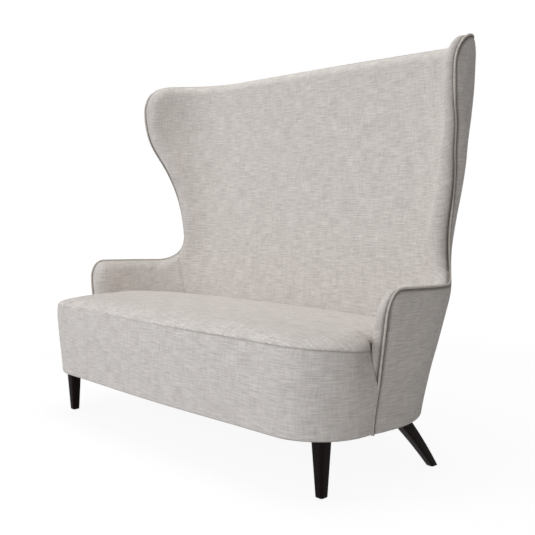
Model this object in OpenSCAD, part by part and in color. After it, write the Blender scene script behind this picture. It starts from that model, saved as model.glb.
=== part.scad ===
// High back settee: a raked tub shell with wings and arms round a tight seat,
// upholstered over a timber and plywood frame on four tapered legs.
// X runs across the seat, Y from the front to the back, Z up from the floor.

/* [Shell] */
// Outside width across the wings and arms
shell_w = 1600; // [1520:1:1680]
// Outside width of the body at its underside
base_w = 1506; // [1460:1:1560]
// Height of the outer edge of the back and wings
shell_h = 1297; // [1240:1:1360]
// Height of the underside above the floor
skirt_z = 163; // [140:1:190]
// Distance from the front line to the outside back at the underside
base_d = 615; // [580:1:660]
// How much further back the outside back lies at the top
back_lean = 197; // [150:1:240]
// How far the sides are hollowed between the arms and the wings
side_hollow = 10; // [0:1:20]
// How far the piped edge of the wings is drawn in between the arms and the tips
wing_draw = 18; // [0:1:22]
// Radius of the rear corners in plan
corner_r = 300; // [260:1:330]
// How far the top of the back rises towards the middle
top_rise = 6; // [0:1:20]
// Thickness of the shell with its padding
shell_t = 60; // [54:1:70]
// How far the piped edge lies inside the fullest line of the outside panels
edge_set = 6; // [4:0.5:12]

/* [Side outline] */
// Height of the arms
arm_h = 566; // [540:1:610]
// Distance from the front line to the front of the arms
arm_front = 234; // [200:1:260]
// Length of the rounded corner at the front of each arm
arm_corner = 54; // [46:1:70]
// How much lower the arm is where it meets the back
arm_dip = 9; // [0:1:20]
// Distance from the front line to the narrowest point of the back
waist_y = 651; // [620:1:670]
// Height of the narrowest point above the arms
waist_rise = 114; // [94:1:150]
// How far the seam between back and arm runs in towards the back at the height of the seat
joint_run = 58; // [0:1:70]
// Distance from the front line to the foremost point of the wings
tip_y = 516; // [480:1:560]
// How far below the top the foremost point of the wings lies
tip_drop = 111; // [90:1:150]
// Distance from the front line to the end of the rounded top of the wings
peak_y = 660; // [630:1:700]

/* [Seat] */
// Radius of the front corners in plan
front_r = 180; // [140:1:210]
// How far the front bows forward at the middle
front_bow = 11; // [0:1:30]
// Height of the seam along the front of the seat
seam_h = 420; // [400:1:440]
// How much lower that seam lies beside the arms
seam_drop = 28; // [10:1:40]
// Height of the crown of the seat above the front seam
seat_crown = 38; // [20:1:60]
// How far the border leans out between the underside and its fullest line
border_lean = 6; // [4:1:18]
// How far the border is drawn in at its top beside the arms
border_tuck = 36; // [20:1:44]

/* [Cover] */
// Thickness of the cover cloth with its wadding
cloth_t = 3; // [2:0.5:5]
// Diameter of the piping
piping_d = 8; // [6:0.5:10]
// How far the padded edge swells past the seam
edge_swell = 4; // [0:0.5:6]
// How far it swells past the seam at the top of the wings
peak_swell = 12; // [4:0.5:16]

/* [Frame] */
// Thickness of the plywood and timber of the shell frame
ply_t = 18; // [14:1:20]
// Width of the frame members
ply_w = 44; // [36:1:50]
// Height of the seat rails
rail_h = 88; // [70:1:100]
// Thickness of the seat rails
rail_t = 26; // [20:1:32]
// Side of the corner blocks
block_side = 84; // [76:1:94]
// Height of the corner blocks
block_h = 58; // [50:1:66]
// Width of the webbing straps
strap_w = 52; // [40:1:60]
// Thickness of the webbing straps
strap_t = 1.5; // [1:0.1:2]

/* [Legs] */
// Side of the front legs at the top
leg_top = 45; // [38:1:50]
// Side of the legs at the foot
leg_foot = 27; // [22:1:32]
// Front legs, distance from the middle
front_leg_x = 676; // [650:1:690]
// Front legs, distance from the front line
front_leg_y = 83; // [70:1:110]
// Rear legs, distance from the middle at the top
rear_leg_x = 690; // [640:1:690]
// Rear legs, distance from the front line at the top
rear_leg_y = 400; // [370:1:420]
// How far the rear feet stand back from the top of their legs
rear_rake = 130; // [90:1:150]
// How far the rear feet stand out from the top of their legs
rear_splay = 20; // [0:1:30]
// Diameter of the foot glides
glide_d = 17; // [14:0.5:18]
// Thickness of the foot glides
glide_t = 2.5; // [1.5:0.1:4]
// Diameter of the leg bolts
bolt_d = 8; // [6:0.5:10]

/* [Hidden] */

// How far the rails stand above the underside cloth, and the heights that follow from it
base_set = 2;
base_z = skirt_z + base_set;
web_z = base_z + rail_h;
// Clearance between curved pieces that lie against each other
gap = 0.3;
// Width over which the outside panels fall to the piping
panel_w = 55;
// Reach of the rolled padding from the piping
roll_r = 34;
// Set of the edge formers back from the seam, and their width
former_set = 19;
former_w = 30;
// Clearance between the seat and the padding round it
seat_gap = 1.2;
// Overrun of a cut past the face that it opens
over = 1;
// Colours of the cloth, timber, webbing, foam and metal
cloth_color = [0.78, 0.75, 0.72];
side_color = [0.72, 0.69, 0.66];
leg_color = [0.13, 0.09, 0.08];
wood_color = [0.80, 0.66, 0.47];
web_color = [0.55, 0.47, 0.36];
foam_color = [0.93, 0.88, 0.70];
felt_color = [0.16, 0.16, 0.17];
steel_color = [0.62, 0.63, 0.65];

// General formulas
function smooth(x) = let (c = min(max(x, 0), 1)) c * c * (3 - 2 * c);
function bez(p, u) = pow(1 - u, 3) * p[0] + 3 * pow(1 - u, 2) * u * p[1]
  + 3 * (1 - u) * u * u * p[2] + pow(u, 3) * p[3];
function curve(p, n) = [for (i = [0:n]) bez(p, i / n)];
function flip_x(p) = [-p[0], p[1], p[2]];
function rad(a) = a * PI / 180;
function deg(a) = a * 180 / PI;

// The tub. Its outline in plan is a flat back, round rear corners and straight sides.
// A place on it is given by s, the way round from the middle of the back, its height z
// and the depth d inwards from the fullest outside line.
body_h = shell_h - skirt_z;
waist_z = arm_h + waist_rise;
tip_z = shell_h - tip_drop;
lean_share = 0.48;
flare_share = 0.42;
hollow_share = 0.35;
function rise(z) = (z - skirt_z) / body_h;
function above_arm(z) = (z - arm_h) / (tip_z - arm_h);
function hollow(z) = let (t = above_arm(z)) smooth(t / hollow_share) * smooth((1 - t) / hollow_share);
function back_y(z) = let (t = min(rise(z), 1)) base_d + back_lean * (t + lean_share * (t - pow(t, 3)));
function half_w(z) = base_w / 2 + (shell_w - base_w) / 2 * smooth(rise(z) / flare_share)
  - side_hollow * hollow(z);
function flat_w(z) = half_w(z) - corner_r;
quarter = corner_r * PI / 2;
function tub_right(s, z, d) = let (f = flat_w(z), y = back_y(z), a = deg((s - f) / corner_r))
  s <= f ? [s, y - d, z]
  : s <= f + quarter ? [f + (corner_r - d) * sin(a), y - corner_r + (corner_r - d) * cos(a), z]
  : [half_w(z) - d, y - corner_r - (s - f - quarter), z];
// The edge of the wings is drawn in over a reach that starts at the rolled padding
draw_shares = [0.06, 0.35, 0.8, 0.21];
draw_reach = 150;
function drawn(s, z) = let (t = above_arm(z), q = lookup(z, side_table) - abs(s) - roll_r)
  wing_draw * smooth((t + draw_shares[0]) / draw_shares[1])
  * smooth((draw_shares[2] - t) / draw_shares[3]) * smooth(1 - q / draw_reach);
function tub(s, z, d) = let (in = d + drawn(s, z)) s < 0 ? flip_x(tub_right(-s, z, in))
  : tub_right(s, z, in);
// Place round the tub of a point of the side outline, given by its distance from the front line
function round_to(y, z) = let (c = back_y(z) - corner_r, f = flat_w(z))
  y <= c ? f + quarter + c - y
  : f + corner_r * rad(acos(min((y - c) / (corner_r - edge_set), 1)));

// The side outline, from the foot of the arm front over the wing to the top of the back
arm_foot_set_share = 0.26;
foot_y = arm_front - arm_foot_set_share * arm_corner;
arm_low = arm_h - arm_dip;
// The arm corner is taller than it is deep, and the sweep from the arm to the back is larger again
corner_rise_share = 1.5;
fillet_share = 2.05;
waist_run_share = 0.68;
arm_corner_z = arm_h - corner_rise_share * arm_corner;
fillet_y = waist_y - fillet_share * arm_corner;
handle_shares = [0.62, 0.59, 0.62, 0.6, 0.42, 0.57, 0.68];
corner_curve = [[arm_front, arm_corner_z],
  [arm_front, arm_corner_z + handle_shares[0] * (arm_h - arm_corner_z)],
  [arm_front + (1 - handle_shares[1]) * arm_corner, arm_h], [arm_front + arm_corner, arm_h]];
fillet_curve = [[fillet_y, arm_low], [fillet_y + waist_run_share * (waist_y - fillet_y), arm_low],
  [waist_y, waist_z - handle_shares[2] * (waist_z - arm_low)], [waist_y, waist_z]];
wing_curve = [[waist_y, waist_z], [waist_y, waist_z + handle_shares[3] * (tip_z - waist_z)],
  [tip_y, tip_z - handle_shares[4] * (tip_z - waist_z)], [tip_y, tip_z]];
peak_curve = [[tip_y, tip_z], [tip_y, tip_z + handle_shares[5] * (shell_h - tip_z)],
  [peak_y - handle_shares[6] * (peak_y - tip_y), shell_h], [peak_y, shell_h]];
function place(p) = [round_to(p[0], p[1]), p[1]];
// Steps along each stretch of the outline
steps = 8;
front_edge = [for (i = [0:4]) place([foot_y + (arm_front - foot_y) * smooth(2 * i / 4),
  skirt_z + (arm_corner_z - skirt_z) * i / 4])];
corner_edge = [for (p = curve(corner_curve, steps)) place(p)];
fillet_edge = [for (p = curve(fillet_curve, steps)) place(p)];
wing_edge = [for (p = curve(wing_curve, steps + 2)) place(p)];
peak_edge = [for (p = curve(peak_curve, steps)) place(p)];
function tail(list, n = 1) = [for (i = [n:len(list) - 1]) list[i]];
function head(list, n) = [for (i = [0:n]) list[i]];
rim_flat = flat_w(shell_h);
rim_places = concat([for (i = [1:6]) peak_edge[steps][0] + (rim_flat - peak_edge[steps][0]) * i / 6],
  [for (i = [2:-1:0]) rim_flat * i / 3]);
arm_edge = [for (i = [1:3]) place([arm_front + arm_corner + (fillet_y - arm_front - arm_corner) * i / 4,
  arm_h + (arm_low - arm_h) * i / 4])];
edge = concat(front_edge, tail(corner_edge), arm_edge, fillet_edge, tail(wing_edge), tail(peak_edge),
  [for (s = rim_places) [s, shell_h + top_rise * (1 - pow(s / peak_edge[steps][0], 2))]]);
half_steps = steps / 2;
arm_node = corner_edge[half_steps];
joint_node = fillet_edge[half_steps];
peak_node = peak_edge[half_steps];

// Distance from a place on the tub to the outline, with the way out of the shell there
function seg_dist(p, a, b) = let (v = b - a, t = min(max(((p - a) * v) / (v * v), 0), 1))
  norm(p - a - t * v);
function near_seg(p, i = 0, best = 1e9, at = 0) = i == len(edge) - 1 ? [best, at]
  : let (e = seg_dist(p, edge[i], edge[i + 1])) near_seg(p, i + 1, min(e, best), e < best ? i : at);
function way_out(i) = let (v = edge[i + 1] - edge[i]) [v[1], -v[0]] / norm(v);

// Depth of the surfaces at distance e from the edge
cover_d = edge_set + cloth_t + gap;
function outside_d(e) = edge_set * pow(1 - min(e / panel_w, 1), 2);
seam_d = cover_d + cloth_t;
peak_reach = 140;
function swell(p) = edge_swell + (peak_swell - edge_swell) * smooth(1 - norm(p - peak_node) / peak_reach);
function roll(e) = pow(1 - pow(1 - min(e / roll_r, 1), 2.3), 1 / 2.3);
function inside_d(e) = seam_d + (shell_t - seam_d) * roll(e);
frame_d = edge_set + cloth_t + 2 * gap;
pad_d = frame_d + ply_t + strap_t + 2 * gap;
near_shares = [0, 0.05, 0.2, 0.5, 1];
back_step_shares = [0.2, 0.36];
function pad_back_d(e) = lookup(e / roll_r, [[back_step_shares[0], cover_d], [back_step_shares[1], pad_d]]);
function inside_point(p) = let (q = [abs(p[0]), p[1]], n = near_seg(q), e = n[0], d = inside_d(e),
  x = roll(e), w = way_out(n[1]) * swell(q) * 4 * x * (1 - x),
  m = q + (e < roll_r ? w : [0, 0])) p[0] < 0 ? flip_x(tub(m[0], m[1], d)) : tub(m[0], m[1], d);
function back_point(p) = let (e = near_seg([abs(p[0]), p[1]])[0]) tub(p[0], p[1], pad_back_d(e));

// A patch between four boundary rows of places
function coons(low, high, left, right) = let (n = len(low) - 1, m = len(left) - 1)
  [for (j = [0:m]) let (v = (right[j][1] - right[0][1]) / (right[m][1] - right[0][1]))
    [for (i = [0:n]) let (u = (high[i][0] - high[0][0]) / (high[n][0] - high[0][0]))
      (1 - v) * low[i] + v * high[i] + (1 - u) * left[j] + u * right[j]
      - (1 - u) * (1 - v) * low[0] - u * (1 - v) * low[n] - (1 - u) * v * high[0] - u * v * high[n]]];

// Faces of a grid of points, counted from a first point
function grid_faces(m, n, first, turn) = [for (j = [0:m - 2], i = [0:n - 2]) let (a = first + j * n + i,
  b = a + 1, c = a + n, d = c + 1) each (turn ? [[a, b, d], [a, d, c]] : [[a, d, b], [a, c, d]])];
function rim(m, n) = concat([for (i = [0:n - 1]) i], [for (j = [1:m - 1]) j * n + n - 1],
  [for (i = [n - 2:-1:0]) (m - 1) * n + i], [for (j = [m - 2:-1:1]) j * n]);
// Solid between two grids of points, the first one facing inwards to the seat
module between(front, back) {
  m = len(front);
  n = len(front[0]);
  r = rim(m, n);
  k = len(r);
  points = concat([for (row = front) each row], [for (row = back) each row]);
  c = m * n;
  walls = [for (i = [0:k - 1]) let (a = r[i], b = r[(i + 1) % k]) each [[a, b, b + c], [a, b + c, a + c]]];
  polyhedron(points, concat(grid_faces(m, n, 0, false), grid_faces(m, n, m * n, true), walls));
}

// Everything stands in a frame whose origin is on the floor below the middle of the outside box
front_y = -front_bow - border_lean;
rear_y = max([for (i = [0:steps]) let (e = i / steps * panel_w)
  back_y(shell_h + top_rise - e) - outside_d(e)]);
middle_y = (front_y + rear_y) / 2;
module placed() translate([0, -middle_y, 0]) children();
module mirrored() mirror([1, 0, 0]) children();

// Inside back: padding and cover in one, from the seat over the wings to the piping
pad_low = web_z + strap_w / 2;
joint_s = joint_node[0] - flat_w(joint_node[1]);
function joint_at(z) = joint_s + flat_w(z)
  - joint_run * (joint_node[1] - z) / (joint_node[1] - seam_h);
side_table = [for (p = concat(fillet_edge, tail(wing_edge), tail(peak_edge))) [p[1], p[0]]];
rim_table = [for (i = [len(edge) - 1:-1:0]) if (edge[i][1] >= peak_node[1]) edge[i]];
function side_s(z) = z < joint_node[1] ? joint_at(z) : lookup(z, side_table);
function rim_z(s) = lookup(abs(s), rim_table);
back_zs = concat([for (i = [0:3]) pad_low + (joint_node[1] - pad_low) * i / 4],
  [for (i = [0:9]) joint_node[1] + (peak_node[1] - roll_r - joint_node[1]) * i / 10],
  [for (i = [4:-1:0]) peak_node[1] - roll_r * near_shares[i]]);
flat_shares = [0, 0.45, 0.9];
half_ss = concat([for (t = flat_shares) t * rim_flat],
  [for (i = [1:7]) flat_shares[2] * rim_flat + (peak_node[0] - roll_r - flat_shares[2] * rim_flat) * i / 8],
  [for (i = [4:-1:0]) peak_node[0] - roll_r * near_shares[i]]);
rim_ss = concat([for (i = [len(half_ss) - 1:-1:1]) -half_ss[i]], half_ss);
function inside_grid(grid) = [for (row = grid) [for (p = row) inside_point(p)]];
function back_grid(grid) = [for (row = grid) [for (p = row) back_point(p)]];
module inside_back() {
  right = [for (z = back_zs) [side_s(z), z]];
  left = [for (p = right) [-p[0], p[1]]];
  high = [for (s = rim_ss) [s, rim_z(s)]];
  low = [for (s = rim_ss) [s / peak_node[0] * right[0][0], pad_low]];
  grid = coons(low, high, left, right);
  color(cloth_color) placed() between(inside_grid(grid), back_grid(grid));
}

// Inside arms: padding and cover from the seam at the back to the piping round the arm
module inside_arm() {
  first = joint_node[0] + 2 * gap;
  last = arm_node[0];
  ss = concat([for (i = [0:6]) first + (last - roll_r - first) * i / 7],
    [for (i = [4:-1:0]) last - roll_r * near_shares[i]]);
  high = [for (s = ss) [s, lookup(s, arm_table)]];
  zs = concat([for (i = [0:3]) pad_low + (arm_node[1] - roll_r - pad_low) * i / 4],
    [for (i = [4:-1:0]) arm_node[1] - roll_r * near_shares[i]]);
  right = [for (z = zs) [lookup(z, front_table), z]];
  left = [for (z = zs) let (t = (z - pad_low) / (arm_node[1] - pad_low),
    at = pad_low + (high[0][1] - pad_low) * t) [joint_at(at) + 2 * gap, at]];
  low = [for (s = ss) [left[0][0] + (right[0][0] - left[0][0]) * (s - first) / (last - first), pad_low]];
  grid = coons(low, high, left, right);
  color(cloth_color) placed() between(inside_grid(grid), back_grid(grid));
}
arm_table = [for (i = [len(edge) - 1:-1:0])
  if (edge[i][1] <= joint_node[1] && edge[i][1] >= arm_node[1]) edge[i]];
module inside_arm_right() inside_arm();
module inside_arm_left() mirrored() inside_arm();

// Outside panels: cloth from the underside to the piping, seamed at the rear corners
seam_angle = 28;
function seam_s(z) = flat_w(z) + corner_r * rad(seam_angle);
function panel_point(p, under) = let (e = near_seg([abs(p[0]), p[1]])[0],
  full = 1 - pow(1 - min(e / panel_w, 1), 2))
  tub(p[0], p[1], outside_d(e) + (under ? cloth_t : 0) - drawn(p[0], p[1]) * full);
function panel_grid(grid, under) = [for (row = grid) [for (p = row) panel_point(p, under)]];
module panel(grid) between(panel_grid(grid, true), panel_grid(grid, false));
low_shares = [0, 0.3, 0.6, 0.85, 1];
module outside_side() {
  fold = fillet_edge[0];
  across = [for (i = [0:6]) seam_s(fold[1]) + (fold[0] - seam_s(fold[1])) * i / 6];
  shared = [for (s = across) [s, fold[1]]];
  arm_line = [for (t = [1:6]) let (s = fold[0] + (arm_node[0] - fold[0]) * t / 6) [s, lookup(s, arm_table)]];
  low_high = concat(shared, arm_line);
  low_right = [for (t = low_shares) let (z = skirt_z + (arm_node[1] - skirt_z) * t)
    [lookup(z, front_table), z]];
  low_left = [for (t = low_shares) let (z = skirt_z + (fold[1] - skirt_z) * t) [seam_s(z), z]];
  low_low = [for (p = low_high) let (u = (p[0] - across[0]) / (arm_node[0] - across[0]))
    [low_left[0][0] + (low_right[0][0] - low_left[0][0]) * u, skirt_z]];
  upper_right = concat([for (i = [0:2:steps]) fillet_edge[i]],
    [for (i = [1:len(wing_edge) - 1]) wing_edge[i]], [for (i = [1:half_steps]) peak_edge[i]]);
  upper_left = [for (p = upper_right) let (t = (p[1] - fold[1]) / (peak_node[1] - fold[1]),
    z = fold[1] + (rim_z(seam_s(shell_h)) - fold[1]) * t) [seam_s(z), z]];
  upper_high = [for (i = [0:6])
    let (s = seam_s(shell_h) + (peak_node[0] - seam_s(shell_h)) * i / 6) [s, rim_z(s)]];
  color(side_color) placed() {
    panel(coons(low_low, low_high, low_left, low_right));
    panel(coons(shared, upper_high, upper_left, upper_right));
  }
}
module outside_side_right() outside_side();
module outside_side_left() mirrored() outside_side();
module outside_back() {
  rows = 12;
  grid = [for (j = [0:rows]) let (v = 1 - pow(1 - j / rows, 1.3)) [for (i = [-8:8])
    let (u = sign(i) * (1 - pow(1 - abs(i) / 8, 1.5)), top = rim_z(u * seam_s(shell_h)),
      z = skirt_z + (top - skirt_z) * v)
    [u * (seam_s(z) - 2 * gap), z]]];
  color(side_color) placed() panel(grid);
}

// Piping along the whole edge, from one arm foot over the back to the other
piping_r = piping_d / 2;
piping_sides = 8;
function unit(v) = v / norm(v);
function edge_out(i) = unit(way_out(max(i - 1, 0)) + way_out(min(i, len(edge) - 2)));
function piping_ring(i) = let (w = edge_out(i), m = edge[i] + w * (piping_r + 3 * gap),
  c = tub(m[0], m[1], cover_d),
  a = unit(tub(m[0] + w[0], m[1] + w[1], cover_d) - c), b = unit(tub(m[0], m[1], cover_d + piping_r) - c))
  [for (k = [0:piping_sides - 1]) let (t = 360 * k / piping_sides) c + piping_r * (cos(t) * a + sin(t) * b)];
function reversed(list) = [for (i = [len(list) - 1:-1:0]) list[i]];
function mirror_ring(ring) = [for (k = [0:piping_sides - 1]) flip_x(ring[k])];
module tube(rings) {
  n = len(rings[0]);
  m = len(rings);
  walls = [for (j = [0:m - 2], k = [0:n - 1]) let (a = j * n + k, b = j * n + (k + 1) % n)
    each [[a, b, b + n], [a, b + n, a + n]]];
  ends = [[for (k = [n - 1:-1:0]) k], [for (k = [0:n - 1]) (m - 1) * n + k]];
  polyhedron([for (r = rings) each r], concat(walls, ends));
}
module piping() {
  half = [for (i = [0:len(edge) - 1]) piping_ring(i)];
  color(cloth_color) placed() tube(concat(half, [for (i = [len(half) - 2:-1:0]) mirror_ring(half[i])]));
}

// The front of the seat, in plan: sides, round corners and a bowed front.
// A place on it is given by k, from 0 at an arm, over 1 and 2 at the ends of the corner, to 3 at the middle
function border_x(z) = half_w(z) - edge_set;
lean_rise_share = 0.6;
function border_out(z) = border_lean * smooth((z - skirt_z) / (lean_rise_share * (seam_h - skirt_z)));
front_table = [for (p = concat(front_edge, tail(corner_edge))) [p[1], p[0]]];
function edge_y(z) = back_y(z) - corner_r - (lookup(z, front_table) - flat_w(z) - quarter);
tuck_share = 0.53;
tuck_z = skirt_z + tuck_share * (seam_h - skirt_z);
function tuck(z) = smooth((z - tuck_z) / (seam_h - seam_drop - tuck_z));
function end_y(z) = edge_y(z) - edge_swell - gap - (piping_d - edge_swell + gap) * (1 - tuck(z));
function seam_z(y) = seam_h - seam_drop * pow(max(y, 0) / arm_front, 1.3);
function drawn_in(y, z) = border_tuck * tuck(z) * smooth((y - arm_front / 2) * 2 / arm_front);
function border(k, z, inset) =
  let (cx = border_x(z) - front_r, cy = front_r - border_out(z), r = front_r - inset)
  k <= 1 ? let (y = end_y(z) + (cy - end_y(z)) * k) [cx + r - drawn_in(y, z), y]
  : k <= 2 ? let (a = 90 * (k - 1), y = cy - r * sin(a)) [cx + r * cos(a) - drawn_in(y, z), y]
  : let (x = cx * (3 - k)) [x, cy - r - front_bow * (1 + cos(180 * x / cx)) / 2];
right_ks = concat([for (i = [0:3]) i / 3], [for (i = [1:7]) 1 + i / 7], [for (i = [1:6]) 2 + i / 6]);
function rim_of(inset, share) = [for (k = right_ks) let (top = seam_z(border(k, seam_h, 0)[1]),
  z = skirt_z + (top - skirt_z) * share) concat(border(k, z, inset), [z])];
function both_sides(list) = concat(reversed([for (i = [0:len(list) - 2]) flip_x(list[i])]), list);
function whole(list) = concat([for (i = [0:len(list) - 2]) flip_x(list[i])], reversed(list));
border_shares = [0, 0.03, 0.3, 0.6, 0.8, 0.93, 1];
// How far the border rolls in towards its seams, at the heights above
border_roll = 6;
border_in_shares = [0.4, 0, 0, 0, 0.1, 0.4, 1];
border_ins = border_roll * border_in_shares;
module seat_border() {
  color(cloth_color) placed() between(
    [for (i = [0:6]) whole(rim_of(border_ins[i], border_shares[i]))],
    [for (i = [0:6]) whole(rim_of(border_ins[i] + cloth_t, border_shares[i]))]);
}

// Seat top: wadding and cover over the foam, crowned in both directions
top_pad = 17;
foam_top = seam_h - seam_drop - top_pad;
plateau_drop_shares = [0.37, 0.84];
seat_mid_share = 0.48;
seat_mid_y = seat_mid_share * base_d;
function plateau(x, y) = seam_h + seat_crown * (1 - plateau_drop_shares[0] * pow(x / half_w(seam_h), 2)
  - plateau_drop_shares[1] * pow(max(y - seat_mid_y, 0) / (base_d - seat_mid_y), 2));
rest_ss = let (f = flat_w(seam_h)) concat(
  [for (i = [0:3]) let (s = f + quarter + back_y(seam_h) - corner_r - arm_front - 2 * gap)
    s + (f + quarter - s) * i / 3],
  [for (i = [1:6]) f + quarter * (1 - i / 6)], [for (i = [1:2]) f * (1 - i / 3)]);
function rest_ring(z, d) = let (half = [for (s = rest_ss) tub(s, z, d)])
  concat(half, [for (i = [len(half) - 1:-1:0]) flip_x(half[i])]);
function seat_ring(z, inset) = concat(whole([for (k = right_ks) concat(border(k, z, inset), [z])]),
  rest_ring(z, shell_t + seat_gap));
function seam_ring(inset) = concat(whole([for (p = rim_of(inset, 1)) [p[0], p[1], p[2] + gap]]),
  rest_ring(foam_top + seat_crown, shell_t + seat_gap));
crown_shares = [0.02, 0.06, 0.13, 0.24, 0.4, 0.65];
nose_d = 120;
tuck_d = 45;
corner_nose_share = 0.15;
function nose(y) = nose_d * (1 - (1 - corner_nose_share)
  * smooth((y - arm_front / 3) / (arm_front * 2 / 3)));
function crown(x) = pow(1 - pow(1 - min(x, 1), 2.2), 1 / 2.2);
module seat_top() {
  front_n = 2 * len(right_ks) - 1;
  seam = seam_ring(border_ins[6]);
  mid = [0, seat_mid_y];
  crowned = [for (f = crown_shares) [for (i = [0:len(seam) - 1])
    let (p = seam[i], b = [p[0], p[1]], q = b + (mid - b) * f, reach = i < front_n ? nose(b[1]) : tuck_d)
    [q[0], q[1], p[2] + (plateau(q[0], q[1]) - p[2]) * crown(norm(q - b) / reach)]]];
  under = border_ins[6] + cloth_t + gap;
  rings = concat([seat_ring(foam_top, under), seam_ring(under), seam], crowned);
  n = len(seam);
  m = len(rings);
  walls = [for (j = [0:m - 2], k = [0:n - 1]) let (a = j * n + k, b = j * n + (k + 1) % n)
    each [[a, b + n, b], [a, a + n, b + n]]];
  top = m * n;
  caps = [for (k = [0:n - 1]) let (next = (k + 1) % n)
    each [[k, next, top + 1], [(m - 1) * n + next, (m - 1) * n + k, top]]];
  points = concat([for (r = rings) each r],
    [concat(mid, [plateau(0, seat_mid_y)]), concat(mid, [foam_top])]);
  color(cloth_color) placed() polyhedron(points, concat(walls, caps));
}
module seat_foam() {
  low = web_z + 2 * strap_t;
  module slab(z) {
    ring = seat_ring(z, 2 * cloth_t + gap);
    translate([0, 0, low]) linear_extrude(foam_top - low) polygon([for (p = ring) [p[0], p[1]]]);
  }
  color(foam_color) placed() intersection() {
    slab(low);
    slab(foam_top);
  }
}

// Frame members. Each is bent ply or timber between two places round the tub
module bent(s0, s1, z0, z1, d0, d1, across = 1, up = 1) {
  function face(d) = [for (j = [0:up]) [for (i = [0:across])
    tub(s0 + (s1 - s0) * i / across, z0 + (z1 - z0) * j / up, d)]];
  placed() between(face(d1), face(d0));
}
rail_out = cloth_t + border_ins[0] + gap;
module front_rail() {
  function row(z, inset) = whole([for (i = [0:6]) concat(border(2 + i / 6, z, inset), [z])]);
  function face(inset) = [for (z = [base_z, web_z]) row(z, inset)];
  color(wood_color) placed() between(face(rail_out), face(rail_out + rail_t));
}
module front_corner() {
  function face(inset) = [for (z = [base_z, web_z])
    [for (i = [0:8]) concat(border(2 - i / 8, z, inset), [z])]];
  color(wood_color) placed() between(face(rail_out), face(rail_out + ply_t));
}
module front_corner_right() front_corner();
module front_corner_left() mirrored() front_corner();
// The side rails lie inside the piping that runs down past them
side_d = cover_d + piping_r + gap;
module side_rail() {
  f = flat_w(base_z);
  s_front = f + quarter + back_y(base_z) - corner_r - front_r - gap;
  color(wood_color)
    bent(f + quarter / 3 + gap, s_front, base_z, web_z, side_d, side_d + rail_t, across = 16);
}
module side_rail_right() side_rail();
module side_rail_left() mirrored() side_rail();
module rear_rail() {
  s = flat_w(base_z) + quarter / 3;
  color(wood_color) bent(-s, s, base_z, web_z, frame_d, frame_d + rail_t, across = 12);
}
module cross_rail() {
  y0 = rail_out + rail_t + gap - front_bow - border_out(base_z);
  y1 = back_y(base_z) - frame_d - rail_t - gap;
  color(wood_color) placed() translate([-rail_t / 2, y0, base_z])
    cube([rail_t, y1 - y0, rail_h - strap_t]);
}

// Corner blocks, each bored for the bolt of its leg
module block(x, y, centres, r) {
  color(wood_color) placed() difference() {
    intersection() {
      translate([x - block_side / 2, y - block_side / 2, base_z]) cube([block_side, block_side, block_h]);
      for_each_centre(centres, r);
    }
    translate([x, y, base_z - over]) cylinder(h = block_h + 2 * over, d = bolt_d + 2 * gap, $fn = 32);
  }
}
module for_each_centre(centres, r) intersection_for (c = centres)
  translate([c[0], c[1], base_z]) cylinder(h = block_h, r = r, $fn = 96);
module front_block() block(front_leg_x, front_leg_y,
  [for (z = [base_z, web_z]) [border_x(z) - front_r, front_r - border_out(z)]],
  front_r - cloth_t - border_ins[0] - 3 * gap - ply_t);
module rear_block() block(rear_leg_x, rear_leg_y,
  [for (z = [base_z, web_z]) [flat_w(z), back_y(z) - corner_r]], corner_r - side_d - rail_t - 2 * gap);
module leg_block_front_right() front_block();
module leg_block_front_left() mirrored() front_block();
module leg_block_rear_right() rear_block();
module leg_block_rear_left() mirrored() rear_block();

// Legs. Front ones are straight tapers, rear ones are raked back and splayed
leg_round_share = 0.22;
rear_wide_share = 0.95;
rear_deep_share = 1.2;
bolt_hold_share = 1.9;
bolt_in_leg = bolt_hold_share * bolt_d;
function leg_ring(x, y, z, w, l) = let (r = leg_round_share * w) [for (q = [0:3], i = [0:3])
  let (a = 90 * q + 30 * i, sx = q == 0 || q == 3 ? 1 : -1, sy = q < 2 ? 1 : -1)
  [x + sx * (w / 2 - r) + r * cos(a), y + sy * (l / 2 - r) + r * sin(a), z]];
module leg(rings, x, y) {
  color(leg_color) placed() difference() {
    tube(reversed(rings));
    translate([x, y, base_z - bolt_in_leg]) cylinder(h = bolt_in_leg + over, d = bolt_d + 2 * gap, $fn = 32);
  }
}
foot_round = 1.5;
module leg_front() leg([
  leg_ring(front_leg_x, front_leg_y, glide_t, leg_foot - 2 * foot_round, leg_foot - 2 * foot_round),
  leg_ring(front_leg_x, front_leg_y, glide_t + foot_round, leg_foot, leg_foot),
  leg_ring(front_leg_x, front_leg_y, base_z, leg_top, leg_top)], front_leg_x, front_leg_y);
rear_steps = 6;
rear_bow_share = 0.12;
module leg_rear() leg([for (i = [-1:rear_steps])
  let (t = max(i, 0) / rear_steps, cut = i < 0 ? foot_round : 0,
  z = glide_t + (i < 0 ? 0 : foot_round) + (base_z - glide_t - foot_round) * t,
  w = leg_foot + (rear_wide_share * leg_top - leg_foot) * t,
  l = leg_foot + (rear_deep_share * leg_top - leg_foot) * t,
  b = 1 - t + rear_bow_share * (t - t * t))
  leg_ring(rear_leg_x + rear_splay * b, rear_leg_y + rear_rake * b, z, w - 2 * cut, l - 2 * cut)],
  rear_leg_x, rear_leg_y);
module leg_front_right() leg_front();
module leg_front_left() mirrored() leg_front();
module leg_rear_right() leg_rear();
module leg_rear_left() mirrored() leg_rear();
module leg_bolt(x, y) color(steel_color) placed() translate([x, y, base_z - bolt_in_leg + gap])
  cylinder(h = bolt_in_leg + block_h, d = bolt_d, $fn = 32);
module leg_bolt_front_right() leg_bolt(front_leg_x, front_leg_y);
module leg_bolt_front_left() mirrored() leg_bolt(front_leg_x, front_leg_y);
module leg_bolt_rear_right() leg_bolt(rear_leg_x, rear_leg_y);
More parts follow.
